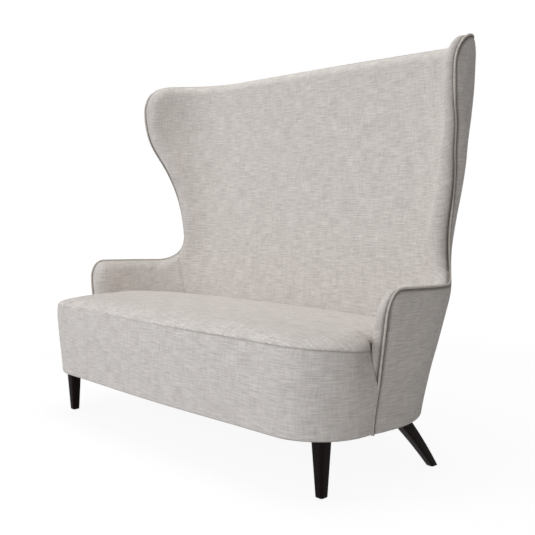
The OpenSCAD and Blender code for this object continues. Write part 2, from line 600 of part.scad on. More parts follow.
module leg_bolt_rear_left() mirrored() leg_bolt(rear_leg_x, rear_leg_y);
module glide(x, y) color(steel_color) placed() translate([x, y, 0])
  cylinder(h = glide_t, d = glide_d, $fn = 48);
module glide_front_right() glide(front_leg_x, front_leg_y);
module glide_front_left() mirrored() glide(front_leg_x, front_leg_y);
module glide_rear_right() glide(rear_leg_x + rear_splay, rear_leg_y + rear_rake);
module glide_rear_left() mirrored() glide(rear_leg_x + rear_splay, rear_leg_y + rear_rake);

// Cloth under the frame, cut out round the legs
module dust_cover() {
  z = skirt_z + gap;
  thick = base_set - 2 * gap;
  inset = 3 * cloth_t + 2 * gap;
  rear = let (f = flat_w(z)) concat([for (i = [0:6]) tub(f + quarter * (1 - i / 6), z, frame_d + cloth_t)],
    [tub(0, z, frame_d + cloth_t)]);
  half = concat(reversed([for (k = right_ks) if (k > 0.5) border(k, z, inset)]),
    [for (p = rear) [p[0], p[1]]]);
  plan = concat(half, [for (i = [len(half) - 2:-1:1]) [-half[i][0], half[i][1]]]);
  color(felt_color) placed() difference() {
    translate([0, 0, z]) linear_extrude(thick) polygon(plan);
    for (side = [-1, 1]) {
      hole = leg_top + 2 * base_set;
      translate([side * front_leg_x, front_leg_y, z]) cube([hole, hole, 4 * thick], center = true);
      translate([side * rear_leg_x, rear_leg_y, z])
        cube([rear_wide_share * hole, rear_deep_share * hole, 4 * thick], center = true);
    }
  }
}

// Edge formers: bent ply that follows the whole outline from an arm foot to the top of the back
function former_place(i, e) = edge[i] - edge_out(i) * e;
module edge_former() {
  last = len(edge) - 1 - len(rim_places);
  idx = [for (i = [0:last]) if (edge[i][1] > web_z) i];
  rows = [for (i = idx) [former_place(i, former_set + former_w), former_place(i, former_set)]];
  base = [[rows[0][0][0], web_z], [rows[0][1][0], web_z]];
  all = concat([base], rows);
  function at_depth(d) = [for (r = all) [for (p = r) tub(p[0], p[1], d)]];
  color(wood_color) placed() between(at_depth(frame_d + ply_t), at_depth(frame_d));
}
module edge_former_right() edge_former();
module edge_former_left() mirrored() edge_former();

top_high = shell_h - former_set;
top_low = top_high - ply_w;
module top_rail() {
  last = len(edge) - 1 - len(rim_places);
  s = min(former_place(last, former_set)[0], former_place(last, former_set + former_w)[0]) - 2 * gap;
  color(wood_color) bent(-s, s, top_low, top_high, frame_d, frame_d + ply_t, across = 36);
}
post_w = ply_w;
post_s = min(flat_w(skirt_z), flat_w(shell_h)) - post_w;
module back_post(s) color(wood_color) bent(s, s + post_w, web_z, top_low, frame_d, frame_d + ply_t, up = 10);
module back_post_right() back_post(post_s);
module back_post_left() back_post(-post_s - post_w);
module back_post_middle() back_post(-post_w / 2);
stay_z = waist_z - ply_w;
tack_z = foam_top - ply_w;
module stay_rail(z) color(wood_color) bent(post_w / 2, post_s, z, z + ply_w, frame_d, frame_d + ply_t);
module stay_rail_right() stay_rail(stay_z);
module stay_rail_left() mirrored() stay_rail(stay_z);
module tack_rail_right() stay_rail(tack_z);
module tack_rail_left() mirrored() stay_rail(tack_z);
module wing_stay() color(wood_color) bent(post_s + post_w, side_s(stay_z) - former_set - former_w - gap,
  stay_z, stay_z + ply_w, frame_d, frame_d + ply_t, across = 6);
module wing_stay_right() wing_stay();
module wing_stay_left() mirrored() wing_stay();

// Webbing of the back, stretched over the three posts, and of the seat
back_straps = 6;
module back_webbing() {
  d = frame_d + ply_t + gap;
  for (i = [0:back_straps - 1]) {
    z = seam_h + strap_w / 2 + (top_low - seam_h - 2 * strap_w) * i / (back_straps - 1);
    color(web_color) bent(-post_s - post_w, post_s + post_w, z, z + strap_w, d, d + strap_t);
  }
}
seat_straps = 9;
seat_cross_straps = 4;
strap_rest = 7;
module seat_webbing_long() {
  y1 = back_y(web_z) - frame_d - rail_t + strap_rest;
  x1 = flat_w(web_z) + strap_w;
  cx = border_x(web_z) - front_r;
  color(web_color) placed() for (i = [0:seat_straps - 1]) {
    x = -x1 + (2 * x1 - strap_w) * i / (seat_straps - 1);
    y0 = border(3 - abs(x + strap_w / 2) / cx, web_z, rail_out + rail_t)[1] - strap_rest;
    translate([x, y0, web_z]) cube([strap_w, y1 - y0, strap_t]);
  }
}
module seat_webbing_cross() {
  x1 = half_w(web_z) - frame_d - rail_t + strap_rest;
  y0 = front_r;
  y1 = back_y(web_z) - corner_r + strap_w;
  color(web_color) placed() for (i = [0:seat_cross_straps - 1])
    translate([-x1, y0 + (y1 - y0 - strap_w) * i / (seat_cross_straps - 1), web_z + strap_t])
      cube([2 * x1, strap_w, strap_t]);
}

front_rail();
front_corner_left();
front_corner_right();
side_rail_left();
side_rail_right();
rear_rail();
cross_rail();
leg_block_front_left();
leg_block_front_right();
leg_block_rear_left();
leg_block_rear_right();
leg_front_left();
leg_front_right();
leg_rear_left();
leg_rear_right();
leg_bolt_front_left();
leg_bolt_front_right();
leg_bolt_rear_left();
leg_bolt_rear_right();
glide_front_left();
glide_front_right();
glide_rear_left();
glide_rear_right();
dust_cover();
edge_former_left();
edge_former_right();
top_rail();
back_post_left();
back_post_middle();
back_post_right();
stay_rail_left();
stay_rail_right();
tack_rail_left();
tack_rail_right();
wing_stay_left();
wing_stay_right();
back_webbing();
seat_webbing_long();
seat_webbing_cross();
seat_foam();
seat_top();
seat_border();
inside_back();
inside_arm_left();
inside_arm_right();
outside_back();
outside_side_left();
outside_side_right();
piping();
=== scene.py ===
import math

import bmesh
import bpy
import numpy as np
from mathutils import Matrix, Vector


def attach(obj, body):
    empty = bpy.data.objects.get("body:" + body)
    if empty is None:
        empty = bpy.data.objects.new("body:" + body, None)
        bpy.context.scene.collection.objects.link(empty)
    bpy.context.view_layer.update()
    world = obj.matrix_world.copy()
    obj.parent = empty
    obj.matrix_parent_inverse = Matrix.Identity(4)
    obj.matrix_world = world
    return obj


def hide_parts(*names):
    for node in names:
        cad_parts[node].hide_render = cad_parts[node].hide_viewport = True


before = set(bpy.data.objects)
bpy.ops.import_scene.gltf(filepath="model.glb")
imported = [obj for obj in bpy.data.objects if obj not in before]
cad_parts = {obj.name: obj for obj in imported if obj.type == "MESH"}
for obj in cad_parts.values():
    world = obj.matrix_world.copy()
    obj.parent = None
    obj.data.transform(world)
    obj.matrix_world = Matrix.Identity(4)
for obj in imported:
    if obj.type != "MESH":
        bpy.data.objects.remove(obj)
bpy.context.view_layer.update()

# The frame that the padding hides: sawn beech rails, posts and corner blocks with bent plywood
# formers along the piped edge. It is glued and stapled together and left bare and pale.
hidden_timber = [
    "front_rail", "front_corner_left", "front_corner_right", "side_rail_left", "side_rail_right",
    "rear_rail", "cross_rail", "leg_block_front_left", "leg_block_front_right",
    "leg_block_rear_left", "leg_block_rear_right", "edge_former_left", "edge_former_right",
    "top_rail", "back_post_left", "back_post_middle", "back_post_right", "stay_rail_left",
    "stay_rail_right", "tack_rail_left", "tack_rail_right", "wing_stay_left", "wing_stay_right",
]
upright_timber = ("edge_former", "back_post")
beech_pale = (0.62, 0.42, 0.25, 1)
beech_dark = (0.42, 0.25, 0.13, 1)
sawn_roughness = 0.72
sawn_pore_depth = 0.0004
grain_squeeze = 0.06
figure_per_m = 26
pores_per_m = 420


def add(tree, kind, inputs=None, **settings):
    """Adds one node to a finish, with its inputs linked or set."""
    made = tree.nodes.new("ShaderNode" + kind)
    for key, value in settings.items():
        setattr(made, key, value)
    for key, value in (inputs or {}).items():
        if isinstance(value, bpy.types.NodeSocket):
            tree.links.new(value, made.inputs[key])
        else:
            made.inputs[key].default_value = value
    return made


def new_finish(name):
    finish = bpy.data.materials.new(name)
    finish.use_nodes = True
    return finish, finish.node_tree, finish.node_tree.nodes["Principled BSDF"]


def bumped(tree, surface, height, distance, strength):
    made = add(tree, "Bump", {"Height": height, "Distance": distance, "Strength": strength})
    tree.links.new(made.outputs["Normal"], surface.inputs["Normal"])


def blended(tree, share, dark, pale):
    return add(tree, "Mix", {"Factor": share, 6: dark, 7: pale}, data_type="RGBA").outputs[2]


def between(tree, value, low, high):
    return add(tree, "MapRange", {"Value": value, "From Min": low, "From Max": high}).outputs[0]


def maths(tree, operation, *values):
    return add(tree, "Math", dict(enumerate(values)), operation=operation).outputs[0]


def wood(name, dark, pale, grain_way, roughness, pore_depth):
    finish, tree, surface = new_finish(name)
    along = [1, 1, 1]
    along["XYZ".index(grain_way)] = grain_squeeze
    place = add(tree, "TexCoord").outputs["Object"]
    laid = add(tree, "Mapping", {"Vector": place, "Scale": along}).outputs["Vector"]
    figure = add(tree, "TexNoise", {"Vector": laid, "Scale": figure_per_m, "Detail": 3,
                                    "Distortion": 0.8})
    pores = add(tree, "TexNoise", {"Vector": laid, "Scale": pores_per_m, "Detail": 4,
                                   "Roughness": 0.7})
    both = maths(tree, "ADD", figure.outputs["Fac"], pores.outputs["Fac"])
    colour = blended(tree, between(tree, both, low=0.72, high=1.28), dark, pale)
    tree.links.new(colour, surface.inputs["Base Color"])
    bumped(tree, surface, pores.outputs["Fac"], pore_depth, strength=0.5)
    surface.inputs["Roughness"].default_value = roughness
    return finish


def dress(name, finish):
    """Gives one of the plain pieces its finish."""
    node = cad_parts[name]
    node.data.materials.clear()
    node.data.materials.append(finish)
    return node


beech_across = wood("sawn_beech_across", beech_dark, beech_pale, "X", sawn_roughness,
                    sawn_pore_depth)
beech_upright = wood("sawn_beech_upright", beech_dark, beech_pale, "Z", sawn_roughness,
                     sawn_pore_depth)
for name in hidden_timber:
    dress(name, beech_upright if name.startswith(upright_timber) else beech_across)

# Elastic webbing is stretched over the frame, four straps across the seat and nine along it,
# and six across the back. It is woven of coarse brown yarn with ribbed edges, and stapled down.
webbing_pale = (0.36, 0.27, 0.17, 1)
webbing_dark = (0.17, 0.11, 0.06, 1)
ribs_per_m = 95
picks_per_m = 60
rib_depth = 0.0006


def woven_strap(name, rib_way, cross_way):
    finish, tree, surface = new_finish(name)
    place = add(tree, "TexCoord").outputs["Object"]
    ribs = add(tree, "TexWave", {"Vector": place, "Scale": ribs_per_m, "Distortion": 0.6},
               bands_direction=rib_way)
    picks = add(tree, "TexWave", {"Vector": place, "Scale": picks_per_m, "Distortion": 0.6},
                bands_direction=cross_way)
    both = maths(tree, "MULTIPLY", ribs.outputs["Fac"], picks.outputs["Fac"])
    colour = blended(tree, both, webbing_dark, webbing_pale)
    tree.links.new(colour, surface.inputs["Base Color"])
    bumped(tree, surface, both, rib_depth, strength=0.8)
    surface.inputs["Roughness"].default_value = 0.85
    return finish


for name, rib_way, cross_way in (("back_webbing", "Z", "X"), ("seat_webbing_long", "X", "Y"),
                                 ("seat_webbing_cross", "Y", "X")):
    dress(name, woven_strap(name + "_weave", rib_way, cross_way))

# The seat is filled with one block of cream polyurethane foam, cut to the plan of the seat
# and glued down on the webbing. Its cut faces show small open cells.
foam_pale = (0.80, 0.72, 0.47, 1)
foam_dark = (0.60, 0.50, 0.28, 1)
foam_cells_per_m = 420
foam_cell_depth = 0.0008
foam_finish, tree, surface = new_finish("cut_foam")
place = add(tree, "TexCoord").outputs["Object"]
cells = add(tree, "TexVoronoi", {"Vector": place, "Scale": foam_cells_per_m})
cell_share = between(tree, cells.outputs["Distance"], low=0.05, high=0.6)
tree.links.new(blended(tree, cell_share, foam_dark, foam_pale), surface.inputs["Base Color"])
bumped(tree, surface, cells.outputs["Distance"], foam_cell_depth, strength=0.7)
surface.inputs["Roughness"].default_value = 0.95
seat_foam = dress("seat_foam", foam_finish)

# A thin black bonded cloth closes the underside, stapled to the rails and cut out round
# the legs. It has the pressed dimples and stray fibres of such cloth.
under_dark = (0.010, 0.010, 0.011, 1)
under_pale = (0.030, 0.030, 0.032, 1)
dimples_per_m = 360
dimple_depth = 0.0004
fibres_per_m = 900
under_finish, tree, surface = new_finish("underside_cloth")
place = add(tree, "TexCoord").outputs["Object"]
dimples = add(tree, "TexVoronoi", {"Vector": place, "Scale": dimples_per_m})
fibres = add(tree, "TexNoise", {"Vector": place, "Scale": fibres_per_m, "Detail": 3})
tree.links.new(blended(tree, fibres.outputs["Fac"], under_dark, under_pale),
               surface.inputs["Base Color"])
bumped(tree, surface, dimples.outputs["Distance"], dimple_depth, strength=0.6)
surface.inputs["Roughness"].default_value = 0.9
dust_cover = dress("dust_cover", under_finish)

# Each leg hangs on a steel bolt that is screwed up into its corner block, and stands on a
# small pressed steel glide. The steel is zinc plated, with a faint turned brushing.
zinc_dark = (0.42, 0.43, 0.44, 1)
zinc_pale = (0.62, 0.63, 0.64, 1)
brushing_per_m = 300
brushing_squeeze = 12
brushing_depth = 0.0001
zinc_finish, tree, surface = new_finish("plated_steel")
place = add(tree, "TexCoord").outputs["Object"]
turned = add(tree, "Mapping", {"Vector": place, "Scale": (1, 1, brushing_squeeze)}).outputs[0]
brushing = add(tree, "TexNoise", {"Vector": turned, "Scale": brushing_per_m, "Detail": 3})
tree.links.new(blended(tree, brushing.outputs["Fac"], zinc_dark, zinc_pale),
               surface.inputs["Base Color"])
tree.links.new(between(tree, brushing.outputs["Fac"], low=-0.6, high=2.2),
               surface.inputs["Roughness"])
bumped(tree, surface, brushing.outputs["Fac"], brushing_depth, strength=0.3)
surface.inputs["Metallic"].default_value = 1
for end in ("front", "rear"):
    for hand in ("left", "right"):
        for part in ("leg_bolt", "glide"):
            steel_node = dress(f"{part}_{end}_{hand}", zinc_finish)

# Four solid legs, sawn square and tapered to the foot with softened edges, then stained
# espresso and given a satin lacquer. The front pair is straight, the rear pair raked back.
middle_y = 0.397113
skirt_z = 0.163
base_z = 0.165
glide_t = 0.0025
leg_top = 0.045
leg_foot = 0.027
leg_soft_share = 0.22
foot_round = 0.0015
front_leg = (0.676, 0.083)
rear_leg = (0.690, 0.400)
rear_splay = 0.020
rear_rake = 0.130
rear_bow_share = 0.12
rear_wide_share = 0.95
rear_deep_share = 1.2
rear_wide = rear_wide_share * leg_top
rear_deep = rear_deep_share * leg_top
espresso_dark = (0.0046, 0.0020, 0.0022, 1)
espresso_pale = (0.0130, 0.0062, 0.0066, 1)
satin_roughness = 0.42
satin_gloss = 0.05
stained_pore_depth = 0.00025
leg_levels = 24
leg_corner_steps = 6


def leg_ring(x, y, z, wide, deep):
    """The section of a leg, square with rounded corners, at one height."""
    soft = leg_soft_share * wide
    points = []
    for quarter_turn, (sx, sy) in enumerate(((1, 1), (-1, 1), (-1, -1), (1, -1))):
        for i in range(leg_corner_steps + 1):
            a = math.pi / 2 * (quarter_turn + i / leg_corner_steps)
            points.append((x + sx * (wide / 2 - soft) + soft * math.cos(a),
                           y + sy * (deep / 2 - soft) + soft * math.sin(a) - middle_y, z))
    return points


def closed_tube(name, rings):
    """A closed mesh through rings of points, with a flat cap at each end."""
    n = len(rings[0])
    points = [p for ring in rings for p in ring]
    faces = [(j * n + k, j * n + (k + 1) % n, (j + 1) * n + (k + 1) % n, (j + 1) * n + k)
             for j in range(len(rings) - 1) for k in range(n)]
    faces.append(tuple(range(n - 1, -1, -1)))
    faces.append(tuple((len(rings) - 1) * n + k for k in range(n)))
    mesh = bpy.data.meshes.new(name)
    mesh.from_pydata(points, [], faces)
    return finished(name, mesh)


def finished(name, mesh, sharp_degrees=50):
    """Puts a mesh in the scene with its faces turned out, smooth but for real corners."""
    turned = bmesh.new()
    turned.from_mesh(mesh)
    bmesh.ops.recalc_face_normals(turned, faces=turned.faces)
    turned.to_mesh(mesh)
    turned.free()
    mesh.shade_smooth()
    mesh.set_sharp_from_angle(angle=math.radians(sharp_degrees))
    piece = bpy.data.objects.new(name, mesh)
    bpy.context.scene.collection.objects.link(piece)
    return piece


espresso = wood("espresso_stain", espresso_dark, espresso_pale, "Z", satin_roughness,
                stained_pore_depth)
espresso.node_tree.nodes["Principled BSDF"].inputs["Specular IOR Level"].default_value = satin_gloss
for hand, side in (("left", -1), ("right", 1)):
    for end, (leg_x, leg_y) in (("front", front_leg), ("rear", rear_leg)):
        rings = []
        for i in range(-1, leg_levels + 1):
            t = max(i, 0) / leg_levels
            cut = 2 * foot_round if i < 0 else 0
            z = glide_t + (foot_round + (base_z - glide_t - foot_round) * t if i >= 0 else 0)
            if end == "front":
                wide = deep = leg_foot + (leg_top - leg_foot) * t
                x, y = leg_x, leg_y
            else:
                wide = leg_foot + (rear_wide - leg_foot) * t
                deep = leg_foot + (rear_deep - leg_foot) * t
                swing = 1 - t + rear_bow_share * (t - t * t)
                x, y = leg_x + rear_splay * swing, leg_y + rear_rake * swing
            rings.append([(side * px, py, pz) for px, py, pz
                          in leg_ring(x, y, z, wide - cut, deep - cut)])
        leg = closed_tube(f"turned_out_leg_{end}_{hand}", rings)
        leg.data.materials.append(espresso)
        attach(leg, "root")
        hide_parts(f"leg_{end}_{hand}")

# The inside back is one padded panel that runs from the seat up and round both wings to the
# piping: foam and wadding under oatmeal cloth, pulled tight and rolled over the formers.
shell_w = 1.600
base_w = 1.506
shell_h = 1.297
base_d = 0.615
back_lean = 0.197
side_hollow = 0.010
wing_draw = 0.018
draw_low = 0.06
draw_rise = 0.35
draw_high = 0.8
draw_fall = 0.21
draw_reach = 0.150
corner_r = 0.300
top_rise = 0.006
shell_t = 0.060
edge_set = 0.006
arm_h = 0.566
arm_front = 0.234
arm_corner = 0.054
arm_dip = 0.009
foot_share = 0.26
corner_fall_share = 1.5
fillet_share = 2.05
waist_y = 0.651
waist_z = 0.680
tip_y = 0.516
tip_z = 1.186
peak_y = 0.660
corner_pull = (0.62, 0.41)
fillet_pull = (0.68, 0.62)
wing_pull = (0.6, 0.42)
peak_pull = (0.57, 0.68)
cloth_t = 0.003
piping_r = 0.004
edge_swell = 0.009
wing_swell = 0.004
peak_swell = 0.009
peak_reach = 0.120
swell_fade = 0.09
uneven_t = 0.0011
uneven_fade = 0.09
wadding_waves = ((0.42, 1.0), (0.21, 0.5), (0.11, 0.3))
waves_of_each = 5
wave_share = 0.25
back_seed = 11
lean_share = 0.48
flare_share = 0.42
hollow_share = 0.35
gap = 0.0003
ply_t = 0.018
strap_t = 0.0015
roll_r = 0.034
roll_power = 2.3
crowding = 2.4
back_step_shares = (0.2, 0.36)
pad_low = 0.279
quarter = corner_r * math.pi / 2
cover_d = edge_set + cloth_t + gap
seam_d = cover_d + cloth_t
pad_d = edge_set + cloth_t + 2 * gap + ply_t + strap_t + 2 * gap
cloth_dark = (0.510, 0.466, 0.434, 1)
cloth_pale = (0.765, 0.715, 0.675, 1)
# Dark brown that the cloth is darkened towards as painted shade in seams and crevices.
painted_shade_dark = (0.080, 0.056, 0.045, 1)
# Pale colour of the painted sheen specks on the seat.
painted_sheen_pale = (0.90, 0.87, 0.83, 1)
thread_pitch = 0.00115
thread_wander = 0.0012
thread_height = 0.0011
# Widths and strengths of the painted shade along the piped seam of the pads.
painted_seam_line_w = 0.0080
seam_shade_w = 0.021
arm_shade = 0.08
wing_shade_more = 0.36
wing_shade_rise = 0.12
left_painted_shade_share = 0.12
right_painted_shade_share = 0.93
turn_steps = 24
arm_steps = 20
wing_steps = 60
peak_steps = 32
rim_steps = 80
roll_rows = 14
pad_rows = 96
pad_columns = 100


def smooth(x):
    c = np.clip(x, 0, 1)
    return c * c * (3 - 2 * c)


def rise(z):
    return (z - skirt_z) / (shell_h - skirt_z)


def back_y(z):
    """How far back the outside of the back leans at a height."""
    t = np.minimum(rise(z), 1)
    return base_d + back_lean * (t + lean_share * (t - t ** 3))


def above_arm(z):
    return (z - arm_h) / (tip_z - arm_h)


def half_w(z):
    """Half the outside width at a height: flared, and hollowed between arm and wing tip."""
    t = above_arm(z)
    hollow = smooth(t / hollow_share) * smooth((1 - t) / hollow_share)
    return base_w / 2 + (shell_w - base_w) / 2 * smooth(rise(z) / flare_share) - side_hollow * hollow


def flat_w(z):
    return half_w(z) - corner_r


def drawn(s, z):
    """How far the edge of the wings is drawn in, over a reach that starts at their padding."""
    t = above_arm(z)
    q = np.interp(z, side_table[:, 1], side_table[:, 0]) - np.abs(s) - roll_r
    return (wing_draw * smooth((t + draw_low) / draw_rise) * smooth((draw_high - t) / draw_fall)
            * smooth(1 - q / draw_reach))


def tub(s, z, d):
    """Places on the shell: s round from the middle of the back, z up, d in from the outside."""
    side = np.where(s < 0, -1.0, 1.0)
    d = d + drawn(s, z)
    s = np.abs(s)
    f = flat_w(z)
    a = np.clip((s - f) / corner_r, 0, math.pi / 2)
    past = np.maximum(s - f - quarter, 0)
    x = np.minimum(s, f) + (corner_r - d) * np.sin(a)
    y = back_y(z) - corner_r + (corner_r - d) * np.cos(a) - past - middle_y
    return np.stack([side * x, y, z + 0 * s], -1)


def round_to(y, z):
    """How far round the shell the side outline is, from its distance to the front line."""
    c = back_y(z) - corner_r
    turn = np.arccos(np.clip((y - c) / (corner_r - edge_set), -1, 1))
    return flat_w(z) + np.where(y <= c, quarter + c - y, corner_r * turn)


def bezier(points, n):
    u = np.linspace(0, 1, n + 1)[:, None]
    a, b, c, d = np.array(points)
    curve = (1 - u) ** 3 * a + 3 * (1 - u) ** 2 * u * b + 3 * (1 - u) * u * u * c + u ** 3 * d
    return placed(curve[:, 0], curve[:, 1])


def placed(y, z):
    return np.stack([round_to(y, z), z], 1)


foot_y = arm_front - foot_share * arm_corner
arm_low = arm_h - arm_dip
arm_corner_z = arm_h - corner_fall_share * arm_corner
fillet_y = waist_y - fillet_share * arm_corner
up = np.linspace(0, 1, turn_steps + 1)
front_edge = placed(foot_y + (arm_front - foot_y) * smooth(2 * up),
                    skirt_z + (arm_corner_z - skirt_z) * up)
corner_edge = bezier([[arm_front, arm_corner_z],
                      [arm_front, arm_corner_z + corner_pull[0] * (arm_h - arm_corner_z)],
                      [arm_front + corner_pull[1] * arm_corner, arm_h],
                      [arm_front + arm_corner, arm_h]], turn_steps)
along = np.linspace(0, 1, arm_steps)
arm_edge = placed(arm_front + arm_corner + (fillet_y - arm_front - arm_corner) * along,
                  arm_h + (arm_low - arm_h) * along)
fillet_edge = bezier([[fillet_y, arm_low],
                      [fillet_y + fillet_pull[0] * (waist_y - fillet_y), arm_low],
                      [waist_y, waist_z - fillet_pull[1] * (waist_z - arm_low)],
                      [waist_y, waist_z]], turn_steps)
wing_edge = bezier([[waist_y, waist_z], [waist_y, waist_z + wing_pull[0] * (tip_z - waist_z)],
                    [tip_y, tip_z - wing_pull[1] * (tip_z - waist_z)], [tip_y, tip_z]],
                   wing_steps)
peak_edge = bezier([[tip_y, tip_z], [tip_y, tip_z + peak_pull[0] * (shell_h - tip_z)],
                    [peak_y - peak_pull[1] * (peak_y - tip_y), shell_h], [peak_y, shell_h]],
                   peak_steps)
side_table = np.concatenate([fillet_edge, wing_edge[1:], peak_edge[1:]])
rim_s = np.linspace(peak_edge[-1, 0], 0, rim_steps)
rim_edge = np.stack([rim_s, shell_h + top_rise * (1 - (rim_s / rim_s[0]) ** 2)], 1)
edge = np.concatenate([front_edge, corner_edge[1:], arm_edge[1:], fillet_edge[1:],
                       wing_edge[1:], peak_edge[1:], rim_edge[1:]])
arm_i = len(front_edge) - 1 + turn_steps // 2
joint_i = len(front_edge) + len(corner_edge) + len(arm_edge) - 3 + turn_steps // 2
peak_i = joint_i + turn_steps // 2 + wing_steps + peak_steps // 2
joint_z = edge[joint_i, 1]
joint_s = edge[joint_i, 0] - flat_w(joint_z)
joint_run = 0.058
crease_t = 0.006
crease_w = 0.010
crease_fade = 0.05
ridge_in = 0.042
ridge_t = 0.0026
ridge_w = 0.0055
ridge_low = 0.66
ridge_high = 1.26
ridge_s = 0.62
ridge_low_fade = 0.12
ridge_high_fade = 0.08
ridge_s_fade = 0.1
ridge_sway = 0.003
ridge_sway_rate = 31
ridge_ripple = 0.002
ridge_ripple_rate = 77
seam_h = 0.420
places_at_once = 4000
roll_table_steps = 200
edge_run = np.diff(edge, axis=0)
edge_out = np.stack([edge_run[:, 1], -edge_run[:, 0]], 1)
edge_out /= np.linalg.norm(edge_out, axis=1)[:, None]
corner_out = np.concatenate([edge_out[:1], edge_out[:-1] + edge_out[1:], edge_out[-1:]])
corner_out /= np.linalg.norm(corner_out, axis=1)[:, None]


def joint_at(z):
    return joint_s + flat_w(z) - joint_run * (joint_z - z) / (joint_z - seam_h)


def joint_crease(to_joint, z):
    """How far the pads go in beside the joint between inside back and inside arm."""
    below_joint = smooth((joint_z - z) / crease_fade)
    return crease_t * below_joint * np.exp(-np.maximum(to_joint, 0) / crease_w)


def to_edge(s, z):
    """Distance to the piped edge, with the way out of the shell at the nearest place on it."""
    flat = np.stack([np.abs(s), z + 0 * s], -1).reshape(-1, 2)
    length = (edge_run ** 2).sum(1)
    far = np.empty(len(flat))
    out = np.empty((len(flat), 2))
    for i in range(0, len(flat), places_at_once):
        q = flat[i:i + places_at_once, None] - edge[None, :-1]
        t = np.clip((q * edge_run).sum(2) / length, 0, 1)
        away = np.linalg.norm(q - t[..., None] * edge_run, axis=2)
        at = away.argmin(1)
        rows = np.arange(len(at))
        far[i:i + places_at_once] = away[rows, at]
        share = t[rows, at][:, None]
        out[i:i + places_at_once] = corner_out[at] * (1 - share) + corner_out[at + 1] * share
    return far.reshape(np.shape(s)), out.reshape(np.shape(s) + (2,))


def bulge(x, power):
    """Height of a full edge, from 0 at the seam to 1 where it has levelled out."""
    return (1 - (1 - np.minimum(x, 1)) ** power) ** (1 / power)


def roll(e):
    return bulge(e / roll_r, roll_power)


roll_steps = roll_r * np.linspace(0, 1, roll_table_steps) ** crowding
over_roll = np.hypot(np.diff(roll_steps), (shell_t - seam_d) * np.diff(roll(roll_steps)))
roll_extra = np.append(np.cumsum(over_roll[::-1])[::-1], 0) - (roll_r - roll_steps)


def unevenness(a, b, seed):
    """Slow swells of hand-laid wadding, from a few crossing waves."""
    draw = np.random.default_rng(seed)
    total = 0
    for size, height in wadding_waves:
        for _ in range(waves_of_each):
            turn, phase = draw.uniform(0, 2 * math.pi, 2)
            total = total + height * np.sin((a * math.cos(turn) + b * math.sin(turn))
                                            * 2 * math.pi / size + phase)
    return wave_share * total


def patch(low, high, left, right):
    """A grid of places between four boundary rows of places."""
    v = ((right[:, 1] - right[0, 1]) / (right[-1, 1] - right[0, 1]))[:, None, None]
    u = ((high[:, 0] - high[0, 0]) / (high[-1, 0] - high[0, 0]))[None, :, None]
    return ((1 - v) * low[None] + v * high[None] + (1 - u) * left[:, None] + u * right[:, None]
            - (1 - u) * (1 - v) * low[0] - u * (1 - v) * low[-1]
            - (1 - u) * v * high[0] - u * v * high[-1])


def edge_steps(n):
    """Shares of the roll, crowded towards the seam where the padding turns steeply."""
    return np.linspace(0, 1, n + 1) ** crowding


def closed_sheet(name, front, back, painted_shade, cloth):
    """A closed mesh between two grids of points, which keeps the run of the cloth's threads."""
    m, n = front.shape[:2]
    cells = np.arange(m * n).reshape(m, n)
    a, b, c, d = cells[:-1, :-1], cells[:-1, 1:], cells[1:, 1:], cells[1:, :-1]
    quads = np.stack([a, b, c, d], -1).reshape(-1, 4)
    ring = np.concatenate([cells[0], cells[1:, -1], cells[-1, -2::-1], cells[-2:0:-1, 0]])
    after = np.roll(ring, -1)
    walls = np.stack([after, ring, ring + m * n, after + m * n], 1)
    faces = np.concatenate([quads, quads[:, ::-1] + m * n, walls])
    points = np.concatenate([front.reshape(-1, 3), back.reshape(-1, 3)])
    mesh = bpy.data.meshes.new(name)
    mesh.from_pydata(points.tolist(), [], faces.tolist())
    piece = finished(name, mesh)
    lay_cloth(piece, np.tile(cloth.reshape(-1, 2), (2, 1)), np.tile(painted_shade.ravel(), 2))
    return piece


def lay_cloth(piece, cloth, painted_shade):
    """Stores where each point lies on the cut cloth, in metres, and how much painted shade darkens
    it.
    """
    held = piece.data.attributes.new("cloth", "FLOAT_VECTOR", "POINT")
    flat = np.zeros((len(cloth), 3), np.float32)
    flat[:, :2] = cloth
    held.data.foreach_set("vector", flat.ravel())
    held = piece.data.attributes.new("painted_shade", "FLOAT", "POINT")
    held.data.foreach_set("value", np.asarray(painted_shade, np.float32))


def pad_points(grid, seed, crease, fill=0):
    """Front and back of the padding, its painted shade beside the seam, faint on the left, and its
    cloth.
    """
    s, z = grid[..., 0], grid[..., 1]
    e, out = to_edge(s, z)
    r = roll(e)
    near_peak = smooth(1 - np.hypot(np.abs(s) - edge[peak_i, 0], z - edge[peak_i, 1]) / peak_reach)
    swell = wing_swell + (edge_swell - wing_swell) * smooth((arm_h - z) / swell_fade)
    swell = (swell + (peak_swell - wing_swell) * near_peak) * 4 * r * (1 - r)
    side = np.where(s < 0, -1.0, 1.0)
    ms = np.abs(s) + out[..., 0] * swell
    mz = z + out[..., 1] * swell
    d = seam_d + (shell_t - seam_d + fill) * r
    settled = smooth(e / uneven_fade)
    d = d + uneven_t * settled * unevenness(s, z, seed) - crease
    front = tub(side * ms, mz, d)
    back = tub(s, z, np.interp(e / roll_r, back_step_shares, (cover_d, pad_d)))
    # Painted shade: a dark line along the piped seam and a broader band beside it, stronger on the
    # wings, stand in for the shade in the crevice; the lit left half gets only a little of it.
    from_seam = np.hypot(e, (shell_t - seam_d) * r)
    broad = arm_shade + wing_shade_more * smooth((z - arm_h) / wing_shade_rise)
    painted_shade = np.maximum(np.exp(-(from_seam / painted_seam_line_w) ** 2),
                         broad * np.exp(-(from_seam / seam_shade_w) ** 2))
    painted_shade = painted_shade * np.where(s < 0, left_painted_shade_share, right_painted_shade_share)
    taken = np.interp(e, roll_steps, roll_extra)[..., None]
    cloth = grid + np.stack([side * out[..., 0], out[..., 1]], -1) * taken
    return front, back, painted_shade, cloth


